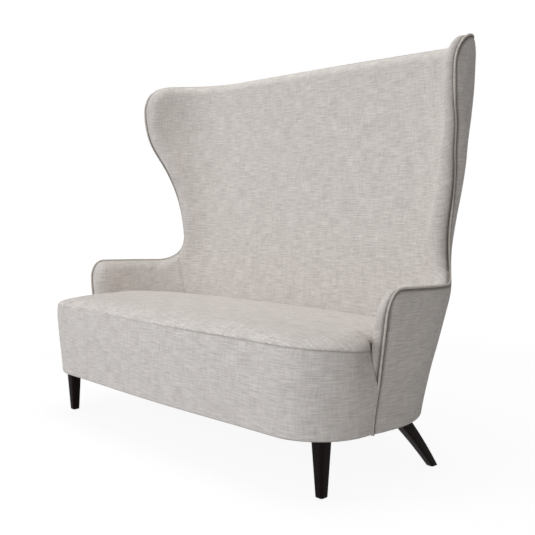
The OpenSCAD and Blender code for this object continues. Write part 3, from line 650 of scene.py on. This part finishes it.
def cover_cloth(name, dark, pale, turned=0.0, painted_sheen_share=0.0):
    """Slubby linen-look cloth: a plain weave of uneven yarns, thick in places both ways."""
    finish, tree, surface = new_finish(name)
    laid = add(tree, "Attribute", attribute_name="cloth").outputs["Vector"]
    if turned:
        laid = add(tree, "Mapping", {"Vector": laid, "Rotation": (0, 0, turned)}).outputs["Vector"]

    def yarns(length, thickness, across, detail):
        size = (1 / length, 1 / thickness, 1) if across else (1 / thickness, 1 / length, 1)
        stretched = add(tree, "Mapping", {"Vector": laid, "Scale": size}).outputs["Vector"]
        return add(tree, "TexNoise", {"Vector": stretched, "Scale": 1, "Detail": detail,
                                      "Roughness": 0.55}).outputs["Fac"]

    def total(parts):
        value = 0
        for share, part in parts:
            value = maths(tree, "MULTIPLY_ADD", part, share, value)
        return value

    weft = yarns(length=0.060, thickness=0.0035, across=True, detail=2)
    warp = yarns(length=0.055, thickness=0.0038, across=False, detail=2)
    fine_weft = yarns(length=0.030, thickness=0.0014, across=True, detail=1)
    fine_warp = yarns(length=0.030, thickness=0.0015, across=False, detail=1)
    mottle = yarns(length=0.055, thickness=0.055, across=True, detail=2)
    colour = total([(0.37, weft), (0.20, warp), (0.20, fine_weft), (0.13, fine_warp),
                    (0.10, mottle)])
    woven = blended(tree, between(tree, colour, low=0.40, high=0.60), dark, pale)
    # Painted sheen: pale specks laid over the weave in loose patches stand in for the glint of the
    # pile seen at a low angle.
    if painted_sheen_share:
        sheen_specks = yarns(length=0.013, thickness=0.0045, across=True, detail=1)
        sheen_patches = yarns(length=0.10, thickness=0.07, across=True, detail=1)
        painted_sheen_mask = maths(tree, "MULTIPLY", between(tree, sheen_specks, low=0.57, high=0.72),
                      between(tree, sheen_patches, low=0.40, high=0.58))
        woven = blended(tree, maths(tree, "MULTIPLY", painted_sheen_mask, painted_sheen_share), woven, painted_sheen_pale)
    # Painted shade: a per-point share darkens the cloth towards dark brown along seams, piping and
    # folds, standing in for the shade there.
    painted_shade = add(tree, "Attribute", attribute_name="painted_shade").outputs["Fac"]
    tree.links.new(blended(tree, painted_shade, woven, painted_shade_dark), surface.inputs["Base Color"])

    where = add(tree, "SeparateXYZ", {"Vector": laid}).outputs
    waves = []
    for axis, wander in ((0, fine_warp), (1, fine_weft)):
        moved = maths(tree, "MULTIPLY_ADD", wander, thread_wander, where[axis])
        waves.append(maths(tree, "SINE", maths(tree, "MULTIPLY", moved, math.pi / thread_pitch)))
    raised = maths(tree, "ABSOLUTE", maths(tree, "MULTIPLY", *waves))
    height = total([(0.35, raised), (0.9, weft), (0.7, warp), (0.5, fine_weft),
                    (0.4, fine_warp)])
    bumped(tree, surface, height, thread_height, strength=0.55)
    surface.inputs["Roughness"].default_value = 0.88
    surface.inputs["Specular IOR Level"].default_value = 0.25
    surface.inputs["Sheen Weight"].default_value = 0.18
    surface.inputs["Sheen Roughness"].default_value = 0.45
    surface.inputs["Sheen Tint"].default_value = (1.0, 0.97, 0.93, 1)
    return finish


oatmeal = cover_cloth("oatmeal_cloth", cloth_dark, cloth_pale)
peak_s = edge[peak_i, 0]
side_line = edge[joint_i:peak_i + 1]
over_top = edge[:peak_i - 1:-1]
steps_in = edge_steps(roll_rows)[::-1]
back_z = np.concatenate([np.linspace(pad_low, edge[peak_i, 1] - roll_r, pad_rows)[:-1],
                         edge[peak_i, 1] - roll_r * steps_in])
half_s = np.concatenate([np.linspace(0, peak_s - roll_r, pad_columns)[:-1],
                         peak_s - roll_r * steps_in])
back_s = np.concatenate([-half_s[:0:-1], half_s])
right = np.stack([np.where(back_z < joint_z, joint_at(back_z),
                           np.interp(back_z, side_line[:, 1], side_line[:, 0])), back_z], 1)
left = right * (-1, 1)
high = np.stack([back_s, np.interp(np.abs(back_s), over_top[:, 0], over_top[:, 1])], 1)
low = np.stack([back_s / peak_s * right[0, 0], pad_low + 0 * back_s], 1)
back_grid = patch(low, high, left, right)
grid_s, grid_z = back_grid[..., 0], back_grid[..., 1]
crease = joint_crease(joint_at(grid_z) - np.abs(grid_s), grid_z)
ridge_line = ridge_in + ridge_sway * np.sin(grid_z * ridge_sway_rate + grid_s)
ridge_line = ridge_line + ridge_ripple * np.sin(grid_z * ridge_ripple_rate)
on_wing = (smooth((grid_z - ridge_low) / ridge_low_fade)
           * smooth((ridge_high - grid_z) / ridge_high_fade))
on_wing = on_wing * smooth((np.abs(grid_s) - ridge_s) / ridge_s_fade)
from_ridge = to_edge(grid_s, grid_z)[0] - ridge_line
wing_ridge = ridge_t * on_wing * np.exp(-(from_ridge / ridge_w) ** 2)
inside_back = closed_sheet("inside_back_pad",
                           *pad_points(back_grid, back_seed, crease - wing_ridge))
inside_back.data.materials.append(oatmeal)
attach(inside_back, "root")
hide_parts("inside_back")

# Each inside arm is its own padded panel, sewn to the inside back along a seam round the
# corner and rolled over the top and front of the arm to the piping.
arm_fill = 0.008
arm_fill_reach = 0.12
arm_fill_fade = 0.08
arm_seed = 21
arm_pad_rows = 26
arm_pad_columns = 56
arm_edge_back = edge[joint_i:arm_i - 1:-1]
front_line = np.concatenate([front_edge, corner_edge[1:]])
arm_first = edge[joint_i, 0] + 2 * gap
arm_last = edge[arm_i, 0]
arm_s = np.concatenate([np.linspace(arm_first, arm_last - roll_r, arm_pad_columns)[:-1],
                        arm_last - roll_r * steps_in])
arm_z = np.concatenate([np.linspace(pad_low, edge[arm_i, 1] - roll_r, arm_pad_rows)[:-1],
                        edge[arm_i, 1] - roll_r * steps_in])
for hand, side in (("left", -1), ("right", 1)):
    high = np.stack([arm_s, np.interp(arm_s, arm_edge_back[:, 0], arm_edge_back[:, 1])], 1)
    right = np.stack([np.interp(arm_z, front_line[:, 1], front_line[:, 0]), arm_z], 1)
    left_z = pad_low + (high[0, 1] - pad_low) * (arm_z - pad_low) / (edge[arm_i, 1] - pad_low)
    left = np.stack([joint_at(left_z) + 2 * gap, left_z], 1)
    low = np.stack([left[0, 0] + (right[0, 0] - left[0, 0]) * (arm_s - arm_first)
                    / (arm_last - arm_first), pad_low + 0 * arm_s], 1)
    arm_grid = patch(low, high, left, right)
    grid_s, grid_z = arm_grid[..., 0], arm_grid[..., 1]
    crease = joint_crease(grid_s - joint_at(grid_z), grid_z)
    to_front = np.interp(grid_z, front_line[:, 1], front_line[:, 0]) - grid_s
    fill = (arm_fill * smooth((arm_h - grid_z) / arm_fill_fade)
            * smooth(1 - to_front / arm_fill_reach))
    arm = closed_sheet(f"inside_arm_pad_{hand}",
                       *pad_points(arm_grid * (side, 1), arm_seed + side, crease, fill))
    arm.data.materials.append(oatmeal)
    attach(arm, "root")
    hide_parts(f"inside_arm_{hand}")

# Outside, thinly padded cloth covers the back and both sides from the underside to the piping,
# with a flat seam at each rear corner. It is tacked under the piping and under the frame.
panel_w = 0.055
rear_seam_degrees = 28
seam_turn = corner_r * math.radians(rear_seam_degrees)
under_fold = 0.010
fold_share = 0.03
panel_tuck = 0.0030
panel_tuck_w = 0.007
rear_seam_t = 0.0016
rear_seam_w = 0.004
panel_swell = 0.0012
panel_swell_fade = 0.12
# Painted shade on the outside panels: beside the piping, along the bottom and at the rear seam.
painted_edge_line_w = 0.0044
painted_peak_line_more = 0.0034
painted_peak_line_rise = 0.09
edge_shade = 0.14
edge_shade_w = 0.013
right_edge_share = 0.9
other_edge_share = 0.5
low_shade = 0.4
low_shade_w = 0.004
rear_seam_shade = 0.35
rear_seam_shade_w = 0.002
panel_seed = 31
step_power = 1.6
column_power = 1.2
rim_band_share = 0.055
panel_columns = 36
arm_columns = 34
back_columns = 121
fold_rows = 8
fold_power = 2
panel_rows = 40
back_mid = 0.5
back_rows = 48
rim_rows = 9


def turned_under(up):
    """How far the cloth has gone in where it turns under the frame."""
    return under_fold * (1 - np.sqrt(np.clip(1 - (1 - np.minimum(up / under_fold, 1)) ** 2, 0, 1)))


# Painted shade along the bottom edge, where the cloth turns under the frame.
def under_shade(up):
    return low_shade * np.exp(-(up / low_shade_w) ** 2)


def panel_points(grid, to_seam):
    """Both faces of an outside panel and its painted shade beside the piping, the rear seam and the
    fold.
    """
    s, z = grid[..., 0], grid[..., 1]
    e = to_edge(s, z)[0]
    dip = edge_set * (1 - np.minimum(e / panel_w, 1)) ** 2
    dip = (dip + panel_tuck * (1 - smooth(e / panel_tuck_w))
           + rear_seam_t * np.exp(-to_seam / rear_seam_w))
    swell = panel_swell * smooth(e / panel_swell_fade) * unevenness(s, z, panel_seed)
    up = np.maximum(z - skirt_z, 0)
    full = 1 - (1 - np.minimum(e / panel_w, 1)) ** 2
    d = dip + turned_under(up) - swell - drawn(s, z) * full
    # Painted shade: a dark line and a broader band beside the piping, wider near the peak, a band
    # along the bottom fold and a line at the rear seam, all standing in for shade; the right side
    # gets more of it.
    wide = painted_edge_line_w + painted_peak_line_more * smooth((z - tip_z) / painted_peak_line_rise)
    painted_shade = np.maximum(np.exp(-(e / wide) ** 2), edge_shade * np.exp(-(e / edge_shade_w) ** 2))
    painted_shade = painted_shade * np.where(s > flat_w(z), right_edge_share, other_edge_share)
    painted_shade = np.maximum(painted_shade, under_shade(up))
    painted_shade = np.maximum(painted_shade, rear_seam_shade * np.exp(-(to_seam / rear_seam_shade_w) ** 2))
    inner = np.maximum(np.minimum(dip - swell + cloth_t, cover_d), dip - swell + gap)
    return tub(s, z, d), tub(s, z, d + inner - dip + swell), painted_shade


low_steps = np.concatenate([np.linspace(0, 1, fold_rows)[:-1] ** fold_power * fold_share,
                            np.linspace(fold_share, 1, panel_rows)])
fold_s, fold_z = fillet_edge[0]
end_s, end_z = edge[arm_i]
rear_fold_s = flat_w(fold_z) + seam_turn
across = np.linspace(rear_fold_s, fold_s, panel_columns)
to_arm = np.linspace(fold_s, end_s, arm_columns)[1:]
lower_top = np.concatenate([
    np.stack([across, fold_z + 0 * across], 1),
    np.stack([to_arm, np.interp(to_arm, arm_edge_back[:, 0], arm_edge_back[:, 1])], 1)])
front_z = skirt_z + (end_z - skirt_z) * low_steps
lower_front = np.stack([np.interp(front_z, front_line[:, 1], front_line[:, 0]), front_z], 1)
rear_z = skirt_z + (fold_z - skirt_z) * low_steps
lower_rear = np.stack([flat_w(rear_z) + seam_turn, rear_z], 1)
share = (lower_top[:, 0] - rear_fold_s) / (end_s - rear_fold_s)
lower_foot = np.stack([lower_rear[0, 0] + (lower_front[0, 0] - lower_rear[0, 0]) * share,
                       skirt_z + 0 * share], 1)
lower = patch(lower_foot, lower_top, lower_rear, lower_front)
upper_front = np.concatenate([fillet_edge, wing_edge[1:], peak_edge[1:peak_steps // 2 + 1]])
share = (upper_front[:, 1] - fold_z) / (edge[peak_i, 1] - fold_z)
rim_top_s = flat_w(shell_h) + seam_turn
rim_top_z = np.interp(rim_top_s, over_top[:, 0], over_top[:, 1])
rear_z = fold_z + (rim_top_z - fold_z) * share
upper_rear = np.stack([flat_w(rear_z) + seam_turn, rear_z], 1)
top_s = rim_top_s + (edge[peak_i, 0] - rim_top_s) * np.linspace(0, 1, panel_columns)
upper_top = np.stack([top_s, np.interp(top_s, over_top[:, 0], over_top[:, 1])], 1)
upper = patch(lower_top[:panel_columns], upper_top, upper_rear, upper_front)
for hand, side in (("left", -1), ("right", 1)):
    for part, grid in (("lower", lower), ("upper", upper)):
        to_seam = np.abs(grid[..., 0] - flat_w(grid[..., 1]) - seam_turn)
        panel = closed_sheet(f"outside_side_{part}_{hand}",
                             *panel_points(grid * (side, 1), to_seam), grid)
        panel.data.materials.append(oatmeal)
        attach(panel, "root")
        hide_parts(f"outside_side_{hand}")

to_rim = np.linspace(0, 1, rim_rows)[1:]
rows = np.concatenate([low_steps * back_mid, np.linspace(back_mid, 1, back_rows)[1:-6],
                       1 - rim_band_share * (1 - to_rim) ** step_power])
columns = np.linspace(-1, 1, back_columns)
columns = np.sign(columns) * (1 - (1 - np.abs(columns)) ** column_power)
top_s = columns * rim_top_s
top_z = np.interp(np.abs(top_s), over_top[:, 0], over_top[:, 1])
back_z = skirt_z + (top_z[None] - skirt_z) * rows[:, None]
grid = np.stack([columns[None] * (flat_w(back_z) + seam_turn - 2 * gap), back_z], -1)
to_seam = np.abs(np.abs(grid[..., 0]) - flat_w(grid[..., 1]) - seam_turn)
outside_back = closed_sheet("outside_back_panel", *panel_points(grid, to_seam), grid)
outside_back.data.materials.append(oatmeal)
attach(outside_back, "root")
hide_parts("outside_back")

# The border goes round the front of the seat from arm to arm: cloth over thin wadding, drawn
# in at its upper ends beside the arms and turned under the rails at the bottom.
front_r = 0.180
front_bow = 0.011
seam_drop = 0.028
border_lean = 0.006
border_tuck = 0.036
border_roll = 0.006
border_roll_from_share = 0.72
border_roll_power = 2.6
border_uneven_t = 0.0009
border_seed = 41
uneven_low_share = 0.125
uneven_high_share = 0.2
pucker_t = 0.0008
pucker_pitch = 0.034
pucker_sway = 2
pucker_sway_rate = 9
pucker_rise_share = 0.2
pucker_end_share = 0.05
low_band_share = 0.04
high_band_share = 0.2
mid_border_z = 0.3
front_steps = (14, 36, 60)
level_steps = (9, 24, 14)
seam_fall_power = 1.3
# Painted shade along the front seam: its width, and how it grows from left to right.
painted_flat_seam_w = 0.0022
flat_seam_shade = 0.05
flat_seam_shade_more = 0.30
shade_from_x = -0.25
shade_run = 0.6
lean_rise_share = 0.6
tuck_share = 0.46
lean_rise = lean_rise_share * (seam_h - skirt_z)
tuck_z = skirt_z + tuck_share * (seam_h - skirt_z)


def tuck(z):
    return smooth((z - tuck_z) / (seam_h - seam_drop - tuck_z))


def border_out(z):
    return border_lean * smooth((z - skirt_z) / lean_rise)


def edge_y(z):
    at = np.interp(z, front_line[:, 1], front_line[:, 0])
    return back_y(z) - corner_r - (at - flat_w(z) - quarter)


def end_y(z):
    return edge_y(z) - edge_swell - gap - (2 * piping_r - edge_swell + gap) * (1 - tuck(z))


def seam_z(y):
    return seam_h - seam_drop * (np.maximum(y, 0) / arm_front) ** seam_fall_power


def border(k, z, inset):
    """Plan of the seat's front: k is 0 at an arm, 1 and 2 at the corner's ends, 3 at the middle."""
    cx = half_w(z) - edge_set - front_r
    cy = front_r - border_out(z)
    r = front_r - inset
    along = np.clip(k, 0, 1)
    a = math.pi / 2 * np.clip(k - 1, 0, 1)
    ahead = np.clip(3 - k, 0, 1)
    y = np.where(k <= 1, end_y(z) + (cy - end_y(z)) * along, cy - r * np.sin(a))
    bow = front_bow * (1 + np.cos(math.pi * ahead)) / 2
    drawn_in = border_tuck * tuck(z) * smooth((y - arm_front / 2) * 2 / arm_front)
    x = np.where(k <= 2, cx + r * np.cos(a) - drawn_in, cx * ahead)
    return np.stack([x, y - np.where(k > 2, bow, 0)], -1)


def seam_shade(x):
    """Painted shade along the front seam: faint at the left, stronger towards the right."""
    return flat_seam_shade + flat_seam_shade_more * smooth((x - shade_from_x) / shade_run)


def around(half):
    """The whole run from the left arm to the right one, from its right half."""
    mirror = np.ones(half.shape[-1])
    mirror[0] = -1
    return np.concatenate([(half * mirror)[:-1], half[::-1]])


front_places = np.concatenate([np.linspace(0, 1, front_steps[0])[:-1],
                               np.linspace(1, 2, front_steps[1])[:-1],
                               np.linspace(2, 3, front_steps[2])])
from_fold = np.linspace(0, 1, level_steps[0])[:-1]
from_seam = np.linspace(1, 0, level_steps[2])
levels = np.concatenate([low_band_share * from_fold ** step_power,
                         np.linspace(low_band_share, 1 - high_band_share, level_steps[1])[:-1],
                         1 - high_band_share * from_seam ** step_power])
seam_y = border(front_places, seam_h, 0)[:, 1]
lengths = np.linalg.norm(np.diff(border(front_places, mid_border_z, 0), axis=0), axis=1)
run_along = np.concatenate([[0], np.cumsum(lengths)])
run_along = run_along[-1] - run_along
outer, inner, laid = [], [], []
for share in levels:
    z = skirt_z + (seam_z(seam_y) - skirt_z) * share
    at_roll = max((share - border_roll_from_share) / (1 - border_roll_from_share), 0)
    inset = border_roll * at_roll ** border_roll_power + turned_under(z[-1] - skirt_z)
    uneven = (border_uneven_t * unevenness(run_along, z, border_seed)
              * smooth(share / uneven_low_share) * smooth((1 - share) / uneven_high_share))
    sway = pucker_sway * np.sin(run_along * pucker_sway_rate)
    pucker = (pucker_t * np.sin(run_along * 2 * math.pi / pucker_pitch + sway)
              * smooth((share - border_roll_from_share) / pucker_rise_share)
              * smooth((1 - share) / pucker_end_share))
    for rows, side_in in ((outer, 0.0), (inner, cloth_t)):
        plan = border(front_places, z, inset + side_in - uneven - pucker)
        rows.append(around(np.concatenate([plan - (0, middle_y), z[:, None]], 1)))
    laid.append(around(np.stack([run_along, z], 1)))
outer = np.array(outer)
# Painted shade on the border: along the bottom fold and under the seam at its top.
down = outer[-1, :, 2] - outer[..., 2]
painted_shade = np.maximum(under_shade(outer[..., 2] - skirt_z),
                     seam_shade(outer[..., 0]) * np.exp(-(down / painted_flat_seam_w) ** 2))
seat_border = closed_sheet("seat_border_cloth", outer, np.array(inner), painted_shade, np.array(laid))
seat_border.data.materials.append(oatmeal)
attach(seat_border, "root")
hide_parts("seat_border")

# The seat top is wadding and cloth over the foam, crowned both ways. A fine flat seam joins it
# to the border, and it is pulled down hard where it meets the back and arms.
seat_crown = 0.038
top_pad = 0.017
foam_top = seam_h - seam_drop - top_pad
seat_gap = 0.0012
seat_mid_share = 0.48
seat_mid_y = seat_mid_share * base_d
nose_d = 0.140
corner_nose_share = 0.55
tuck_d = 0.045
rear_fall_share = 0.84
side_fall_share = 0.37
crown_power = 1.95
seat_uneven_t = 0.0012
seat_uneven_fade = 0.06
nose_band_share = 0.24
seat_seed = 51
rest_steps = (24, 30, 28)
nose_rings = 24
flat_rings = 30


def plateau(x, y):
    """Height of the crowned seat away from its edges."""
    fall = rear_fall_share * (np.maximum(y - seat_mid_y, 0) / (base_d - seat_mid_y)) ** 2
    return seam_h + seat_crown * (1 - side_fall_share * (x / half_w(seam_h)) ** 2 - fall)


flat_s = flat_w(seam_h)
turned_s = flat_s + quarter
rest_far = turned_s + back_y(seam_h) - corner_r - arm_front - 2 * gap
rest_s = np.concatenate([np.linspace(rest_far, turned_s, rest_steps[0])[:-1],
                         np.linspace(turned_s, flat_s, rest_steps[1])[:-1],
                         np.linspace(flat_s, 0, rest_steps[2])])
rest_y = arm_front + np.maximum(rest_far - rest_s, 0)


def both_halves(half):
    """The whole run from the right end to the left one, from its right half."""
    return np.concatenate([half, (half * (-1, 1, 1))[-2::-1]])


def rest_ring(z, d):
    """The edge of the seat where it meets the arms and the back."""
    fill = arm_fill * smooth((arm_front + arm_fill_reach - rest_y) / arm_fill_reach)
    return both_halves(tub(rest_s, z + 0 * rest_s, d + fill) + (0, middle_y, 0))


def seam_ring(inset, lift):
    """The whole edge of the seat top, a little above the seam in front."""
    plan = border(front_places, seam_z(seam_y), inset)
    half = np.concatenate([plan, (seam_z(seam_y) + lift)[:, None]], 1)
    return np.concatenate([around(half), rest_ring(foam_top + seat_crown, shell_t + seat_gap)])


front_n = 2 * len(front_places) - 1
seam = seam_ring(border_roll, gap)
inner_seam = seam_ring(border_roll + cloth_t + gap, gap)
under_plan = border(front_places, foam_top + 0 * seam_y, border_roll + cloth_t + gap)
under = np.concatenate([under_plan, foam_top + 0 * seam_y[:, None]], 1)
under = np.concatenate([around(under), rest_ring(foam_top, shell_t + seat_gap)])
mid = np.array([0, seat_mid_y])
inward = np.concatenate([edge_steps(nose_rings)[1:] * nose_band_share,
                         np.linspace(nose_band_share, 1, flat_rings)[1:-1]])
rings = [under, inner_seam, seam]
base = seam[:, :2]
reach = np.full(len(seam), tuck_d)
by_arm = smooth((base[:front_n, 1] - arm_front / 3) / (arm_front * 2 / 3))
reach[:front_n] = nose_d * (1 - corner_nose_share * by_arm)
for share in inward:
    place = base + (mid - base) * share
    x, y = place.T
    far = np.linalg.norm(place - base, axis=1)
    z = seam[:, 2] + (plateau(x, y) - seam[:, 2]) * bulge(far / reach, crown_power)
    z = z + seat_uneven_t * smooth(far / seat_uneven_fade) * unevenness(x, y, seat_seed)
    rings.append(np.concatenate([place, z[:, None]], 1))
middle = (0, seat_mid_y, plateau(0, seat_mid_y))
n = len(seam)
points = np.concatenate(rings + [np.array([middle, (0, seat_mid_y, foam_top)])])
k = np.arange(n)
after = (k + 1) % n
faces = []
for here in range(0, (len(rings) - 1) * n, n):
    above = here + n
    faces += np.stack([here + k, here + after, above + after, above + k], 1).tolist()
faces += np.stack([above + k, above + after, np.full(n, len(points) - 2)], 1).tolist()
faces += np.stack([after, k, np.full(n, len(points) - 1)], 1).tolist()
mesh = bpy.data.meshes.new("seat_top_pad")
mesh.from_pydata((points - (0, middle_y, 0)).tolist(), [], faces)
seat_top = finished("seat_top_pad", mesh)
rings = np.array(rings)
steps = np.diff(np.concatenate([np.tile(middle, (1, n, 1)), rings[:1:-1]]), axis=0)
length = np.cumsum(np.linalg.norm(steps, axis=2), axis=0)[::-1, :, None]
way_out = base - mid
way_out /= np.linalg.norm(way_out, axis=1)[:, None]
cloth = mid + way_out * length
cloth = np.concatenate([cloth[:1], cloth[:1], cloth]).reshape(-1, 2)
# Painted shade along the seat's front seam, as on the border.
away = np.linalg.norm(rings - seam, axis=2)
painted_shade = seam_shade(rings[..., 0]) * np.exp(-(away / painted_flat_seam_w) ** 2)
lay_cloth(seat_top, np.concatenate([cloth, [mid, mid]]), np.concatenate([painted_shade.ravel(), [0, 0]]))
# The seat's cloth carries painted sheen specks over its weave.
seat_top.data.materials.append(cover_cloth("seat_cloth_painted_sheen", cloth_dark, cloth_pale, painted_sheen_share=0.85))
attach(seat_top, "root")
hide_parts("seat_top")

# One unbroken piping runs from the foot of one arm over the arm, wing and back to the other:
# a cord in a bias-cut strip of the same cloth, sewn in between the inside and outside panels.
cord_r = 0.0036
sewn_strip = 0.0052
cord_sides = 14
piping_levels = 900
piping_pucker_share = 0.03
piping_pucker_pitch = 0.013
piping_sway_rate = 210
sunk_low = 0.76
sunk_low_fade = 0.08
sunk_high = 1.13
sunk_high_fade = 0.07
sunk_share = 0.25
# Painted shade on the cord: where it sinks between the pads, on its side towards the sewn strip and
# on its side towards the roll.
sunk_shade = 0.4
strip_shade = 0.7
strip_from = 0.55
strip_fade = 0.4
roll_side_shade = 0.75
roll_side_from = 0.05
roll_side_fade = 0.5
left_piping_share = 0.2
# The cord's cloth is a little lighter and warmer than the panels: a painted tint for the warm light
# the raised cord catches.
piping_dark = (0.53, 0.48, 0.43, 1)
piping_pale = (0.77, 0.715, 0.65, 1)


def evened(values):
    """The same run of places or directions at even steps along the cord."""
    return np.stack([np.interp(even, length, values[:, i]) for i in range(3)], 1)


piping_places = edge + corner_out * (cord_r + gap)
beyond = piping_places + corner_out * piping_r
axis = tub(piping_places[:, 0], piping_places[:, 1], cover_d)
outward = both_halves(tub(beyond[:, 0], beyond[:, 1], cover_d) - axis)
axis = both_halves(axis)
length = np.concatenate([[0], np.cumsum(np.linalg.norm(np.diff(axis, axis=0), axis=1))])
even = np.linspace(0, length[-1], piping_levels)
axis = evened(axis)
outward = evened(outward)
ahead = np.gradient(axis, axis=0)
ahead /= np.linalg.norm(ahead, axis=1)[:, None]
outward -= (outward * ahead).sum(1)[:, None] * ahead
outward /= np.linalg.norm(outward, axis=1)[:, None]
across = np.cross(ahead, outward)
piping_rings, piping_cloth, piping_painted_shade = [], [], []
for i, run in enumerate(even):
    x, y, z = axis[i]
    sunk = float(smooth((sunk_high - z) / sunk_high_fade) * smooth((z - sunk_low) / sunk_low_fade))
    puckers = (1 + piping_pucker_share * math.sin(run * 2 * math.pi / piping_pucker_pitch)
               + piping_pucker_share * math.sin(run * piping_sway_rate + 1) - sunk_share * sunk)
    side_share = 1.0 if x > 0 else left_piping_share
    ring = []
    for j in range(cord_sides):
        a = 2 * math.pi * j / cord_sides
        r = cord_r * puckers + (sewn_strip if 2 * j == cord_sides else 0)
        ring.append(tuple(axis[i] + r * (math.cos(a) * outward[i] + math.sin(a) * across[i])))
        piping_cloth.append((run, cord_r * min(a, 2 * math.pi - a)))
        # Painted shade: the cord darkens on the strip side, on the roll side (much less on the left)
        # and where it sinks.
        by_strip = strip_shade * float(smooth((-math.cos(a) - strip_from) / strip_fade))
        by_roll = roll_side_shade * float(smooth((-math.sin(a) - roll_side_from) / roll_side_fade))
        piping_painted_shade.append(max(by_strip, sunk_shade * sunk, by_roll * side_share))
    piping_rings.append(ring)
piping = closed_tube("piping_cord", piping_rings)
lay_cloth(piping, np.array(piping_cloth), piping_painted_shade)
piping.data.materials.append(cover_cloth("bias_cut_cloth", piping_dark, piping_pale,
                                         turned=math.pi / 4))
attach(piping, "root")
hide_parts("piping")

# The settee stands on a plain white floor that runs back without a line, in front of a white
# surround, and keeps its own soft shadow.
floor_half = 14.0
floor_grey = (0.8, 0.8, 0.8, 1)
white = (1, 1, 1, 1)
floor_glow = 1.06
near_glow_share = 0.87
glow_near = 1.8
glow_far = 4.0
ambient_glow = 0.230
corners = [(-floor_half, -floor_half, 0), (floor_half, -floor_half, 0),
           (floor_half, floor_half, 0), (-floor_half, floor_half, 0)]


def seen_by(tree, *kinds):
    """1 for rays of these kinds, such as those straight from the camera, and 0 for the rest."""
    rays = add(tree, "LightPath").outputs
    seen = rays[kinds[0]]
    for kind in kinds[1:]:
        seen = maths(tree, "MAXIMUM", seen, rays[kind])
    return seen


floor_mesh = bpy.data.meshes.new("white_floor")
floor_mesh.from_pydata(corners, [], [(0, 1, 2, 3)])
floor = bpy.data.objects.new("white_floor", floor_mesh)
bpy.context.scene.collection.objects.link(floor)
floor_finish = bpy.data.materials.new("floor_white")
floor_finish.use_nodes = True
tree = floor_finish.node_tree
tree.nodes.clear()
matt = add(tree, "BsdfDiffuse", {"Color": floor_grey}).outputs[0]
glow = add(tree, "Emission", {"Color": white, "Strength": floor_glow}).outputs[0]
seen = seen_by(tree, "Is Camera Ray", "Is Glossy Ray", "Is Transmission Ray")
place = add(tree, "TexCoord").outputs["Object"]
spread = add(tree, "VectorMath", {0: place}, operation="LENGTH").outputs["Value"]
far_glow = add(tree, "MapRange", {"Value": spread, "From Min": glow_near, "From Max": glow_far,
                                  "To Min": near_glow_share, "To Max": 1.0}).outputs[0]
glow_share = maths(tree, "MULTIPLY", seen, far_glow)
floor_mix = add(tree, "MixShader", {0: glow_share, 1: matt, 2: glow}).outputs[0]
add(tree, "OutputMaterial", {"Surface": floor_mix})
floor_mesh.materials.append(floor_finish)

world = bpy.data.worlds.new("white_surround")
bpy.context.scene.world = world
world.use_nodes = True
tree = world.node_tree
tree.nodes.clear()
surround = add(tree, "Background", {"Color": white, "Strength": 1.0}).outputs[0]
ambient = add(tree, "Background", {"Color": white, "Strength": ambient_glow}).outputs[0]
seen = seen_by(tree, "Is Camera Ray", "Is Glossy Ray")
world_mix = add(tree, "MixShader", {0: seen, 1: ambient, 2: surround}).outputs[0]
add(tree, "OutputWorld", {"Surface": world_mix})

# Studio light: two large soft lamps stand in front at a height of about 2 m, the stronger one on
# the left, with a low and slightly cool one between them and one overhead. The sides that face
# right stay in soft shade.
neutral = (1.0, 1.0, 1.0)
cool = (0.86, 1.0, 1.18)
lamps = (
    ("front_left_lamp", (-2.9, -4.4, 2.0), 2.2, 71.5, neutral),
    ("front_right_lamp", (2.6, -4.6, 1.9), 2.2, 49.5, neutral),
    ("low_fill_lamp", (0.1, -3.5, 0.8), 1.6, 13.0, cool),
    ("overhead_lamp", (-0.1, 0.0, 4.2), 2.6, 77.0, neutral),
)
aim_at = Vector((0, 0, 0.6))
for name, spot, size, power, colour in lamps:
    lamp = bpy.data.lights.new(name, "AREA")
    lamp.shape = "DISK"
    lamp.size = size
    lamp.energy = power
    lamp.color = colour
    holder = bpy.data.objects.new(name, lamp)
    holder.location = spot
    holder.rotation_mode = "QUATERNION"
    holder.rotation_quaternion = (aim_at - Vector(spot)).to_track_quat("-Z", "Y")
    bpy.context.scene.collection.objects.link(holder)

# The camera stands in front on the right, a little above the arms, and looks slightly down.
# Its place, turn and lens follow from the photo's own perspective.
camera_spot = (2.246, -1.9171, 0.814)
yaw = math.radians(48.07)
down = math.radians(4.591)
tilt = math.radians(-0.379)
camera_data = bpy.data.cameras.new("camera")
camera_data.sensor_width = 36
camera_data.lens = 56.47
camera_data.clip_end = 100
camera = bpy.data.objects.new("camera", camera_data)
backward = Vector((math.sin(yaw) * math.cos(down), -math.cos(yaw) * math.cos(down),
                   math.sin(down)))
sideways = Vector((math.cos(yaw), math.sin(yaw), 0))
upright = sideways.cross(-backward)
tilted_side = math.cos(tilt) * sideways + math.sin(tilt) * upright
tilted_up = math.cos(tilt) * upright - math.sin(tilt) * sideways
turned = Matrix((tilted_side, tilted_up, backward)).transposed().to_4x4()
camera.matrix_world = Matrix.Translation(camera_spot) @ turned
bpy.context.scene.collection.objects.link(camera)
bpy.context.scene.camera = camera
bpy.context.scene.view_settings.view_transform = "Standard"
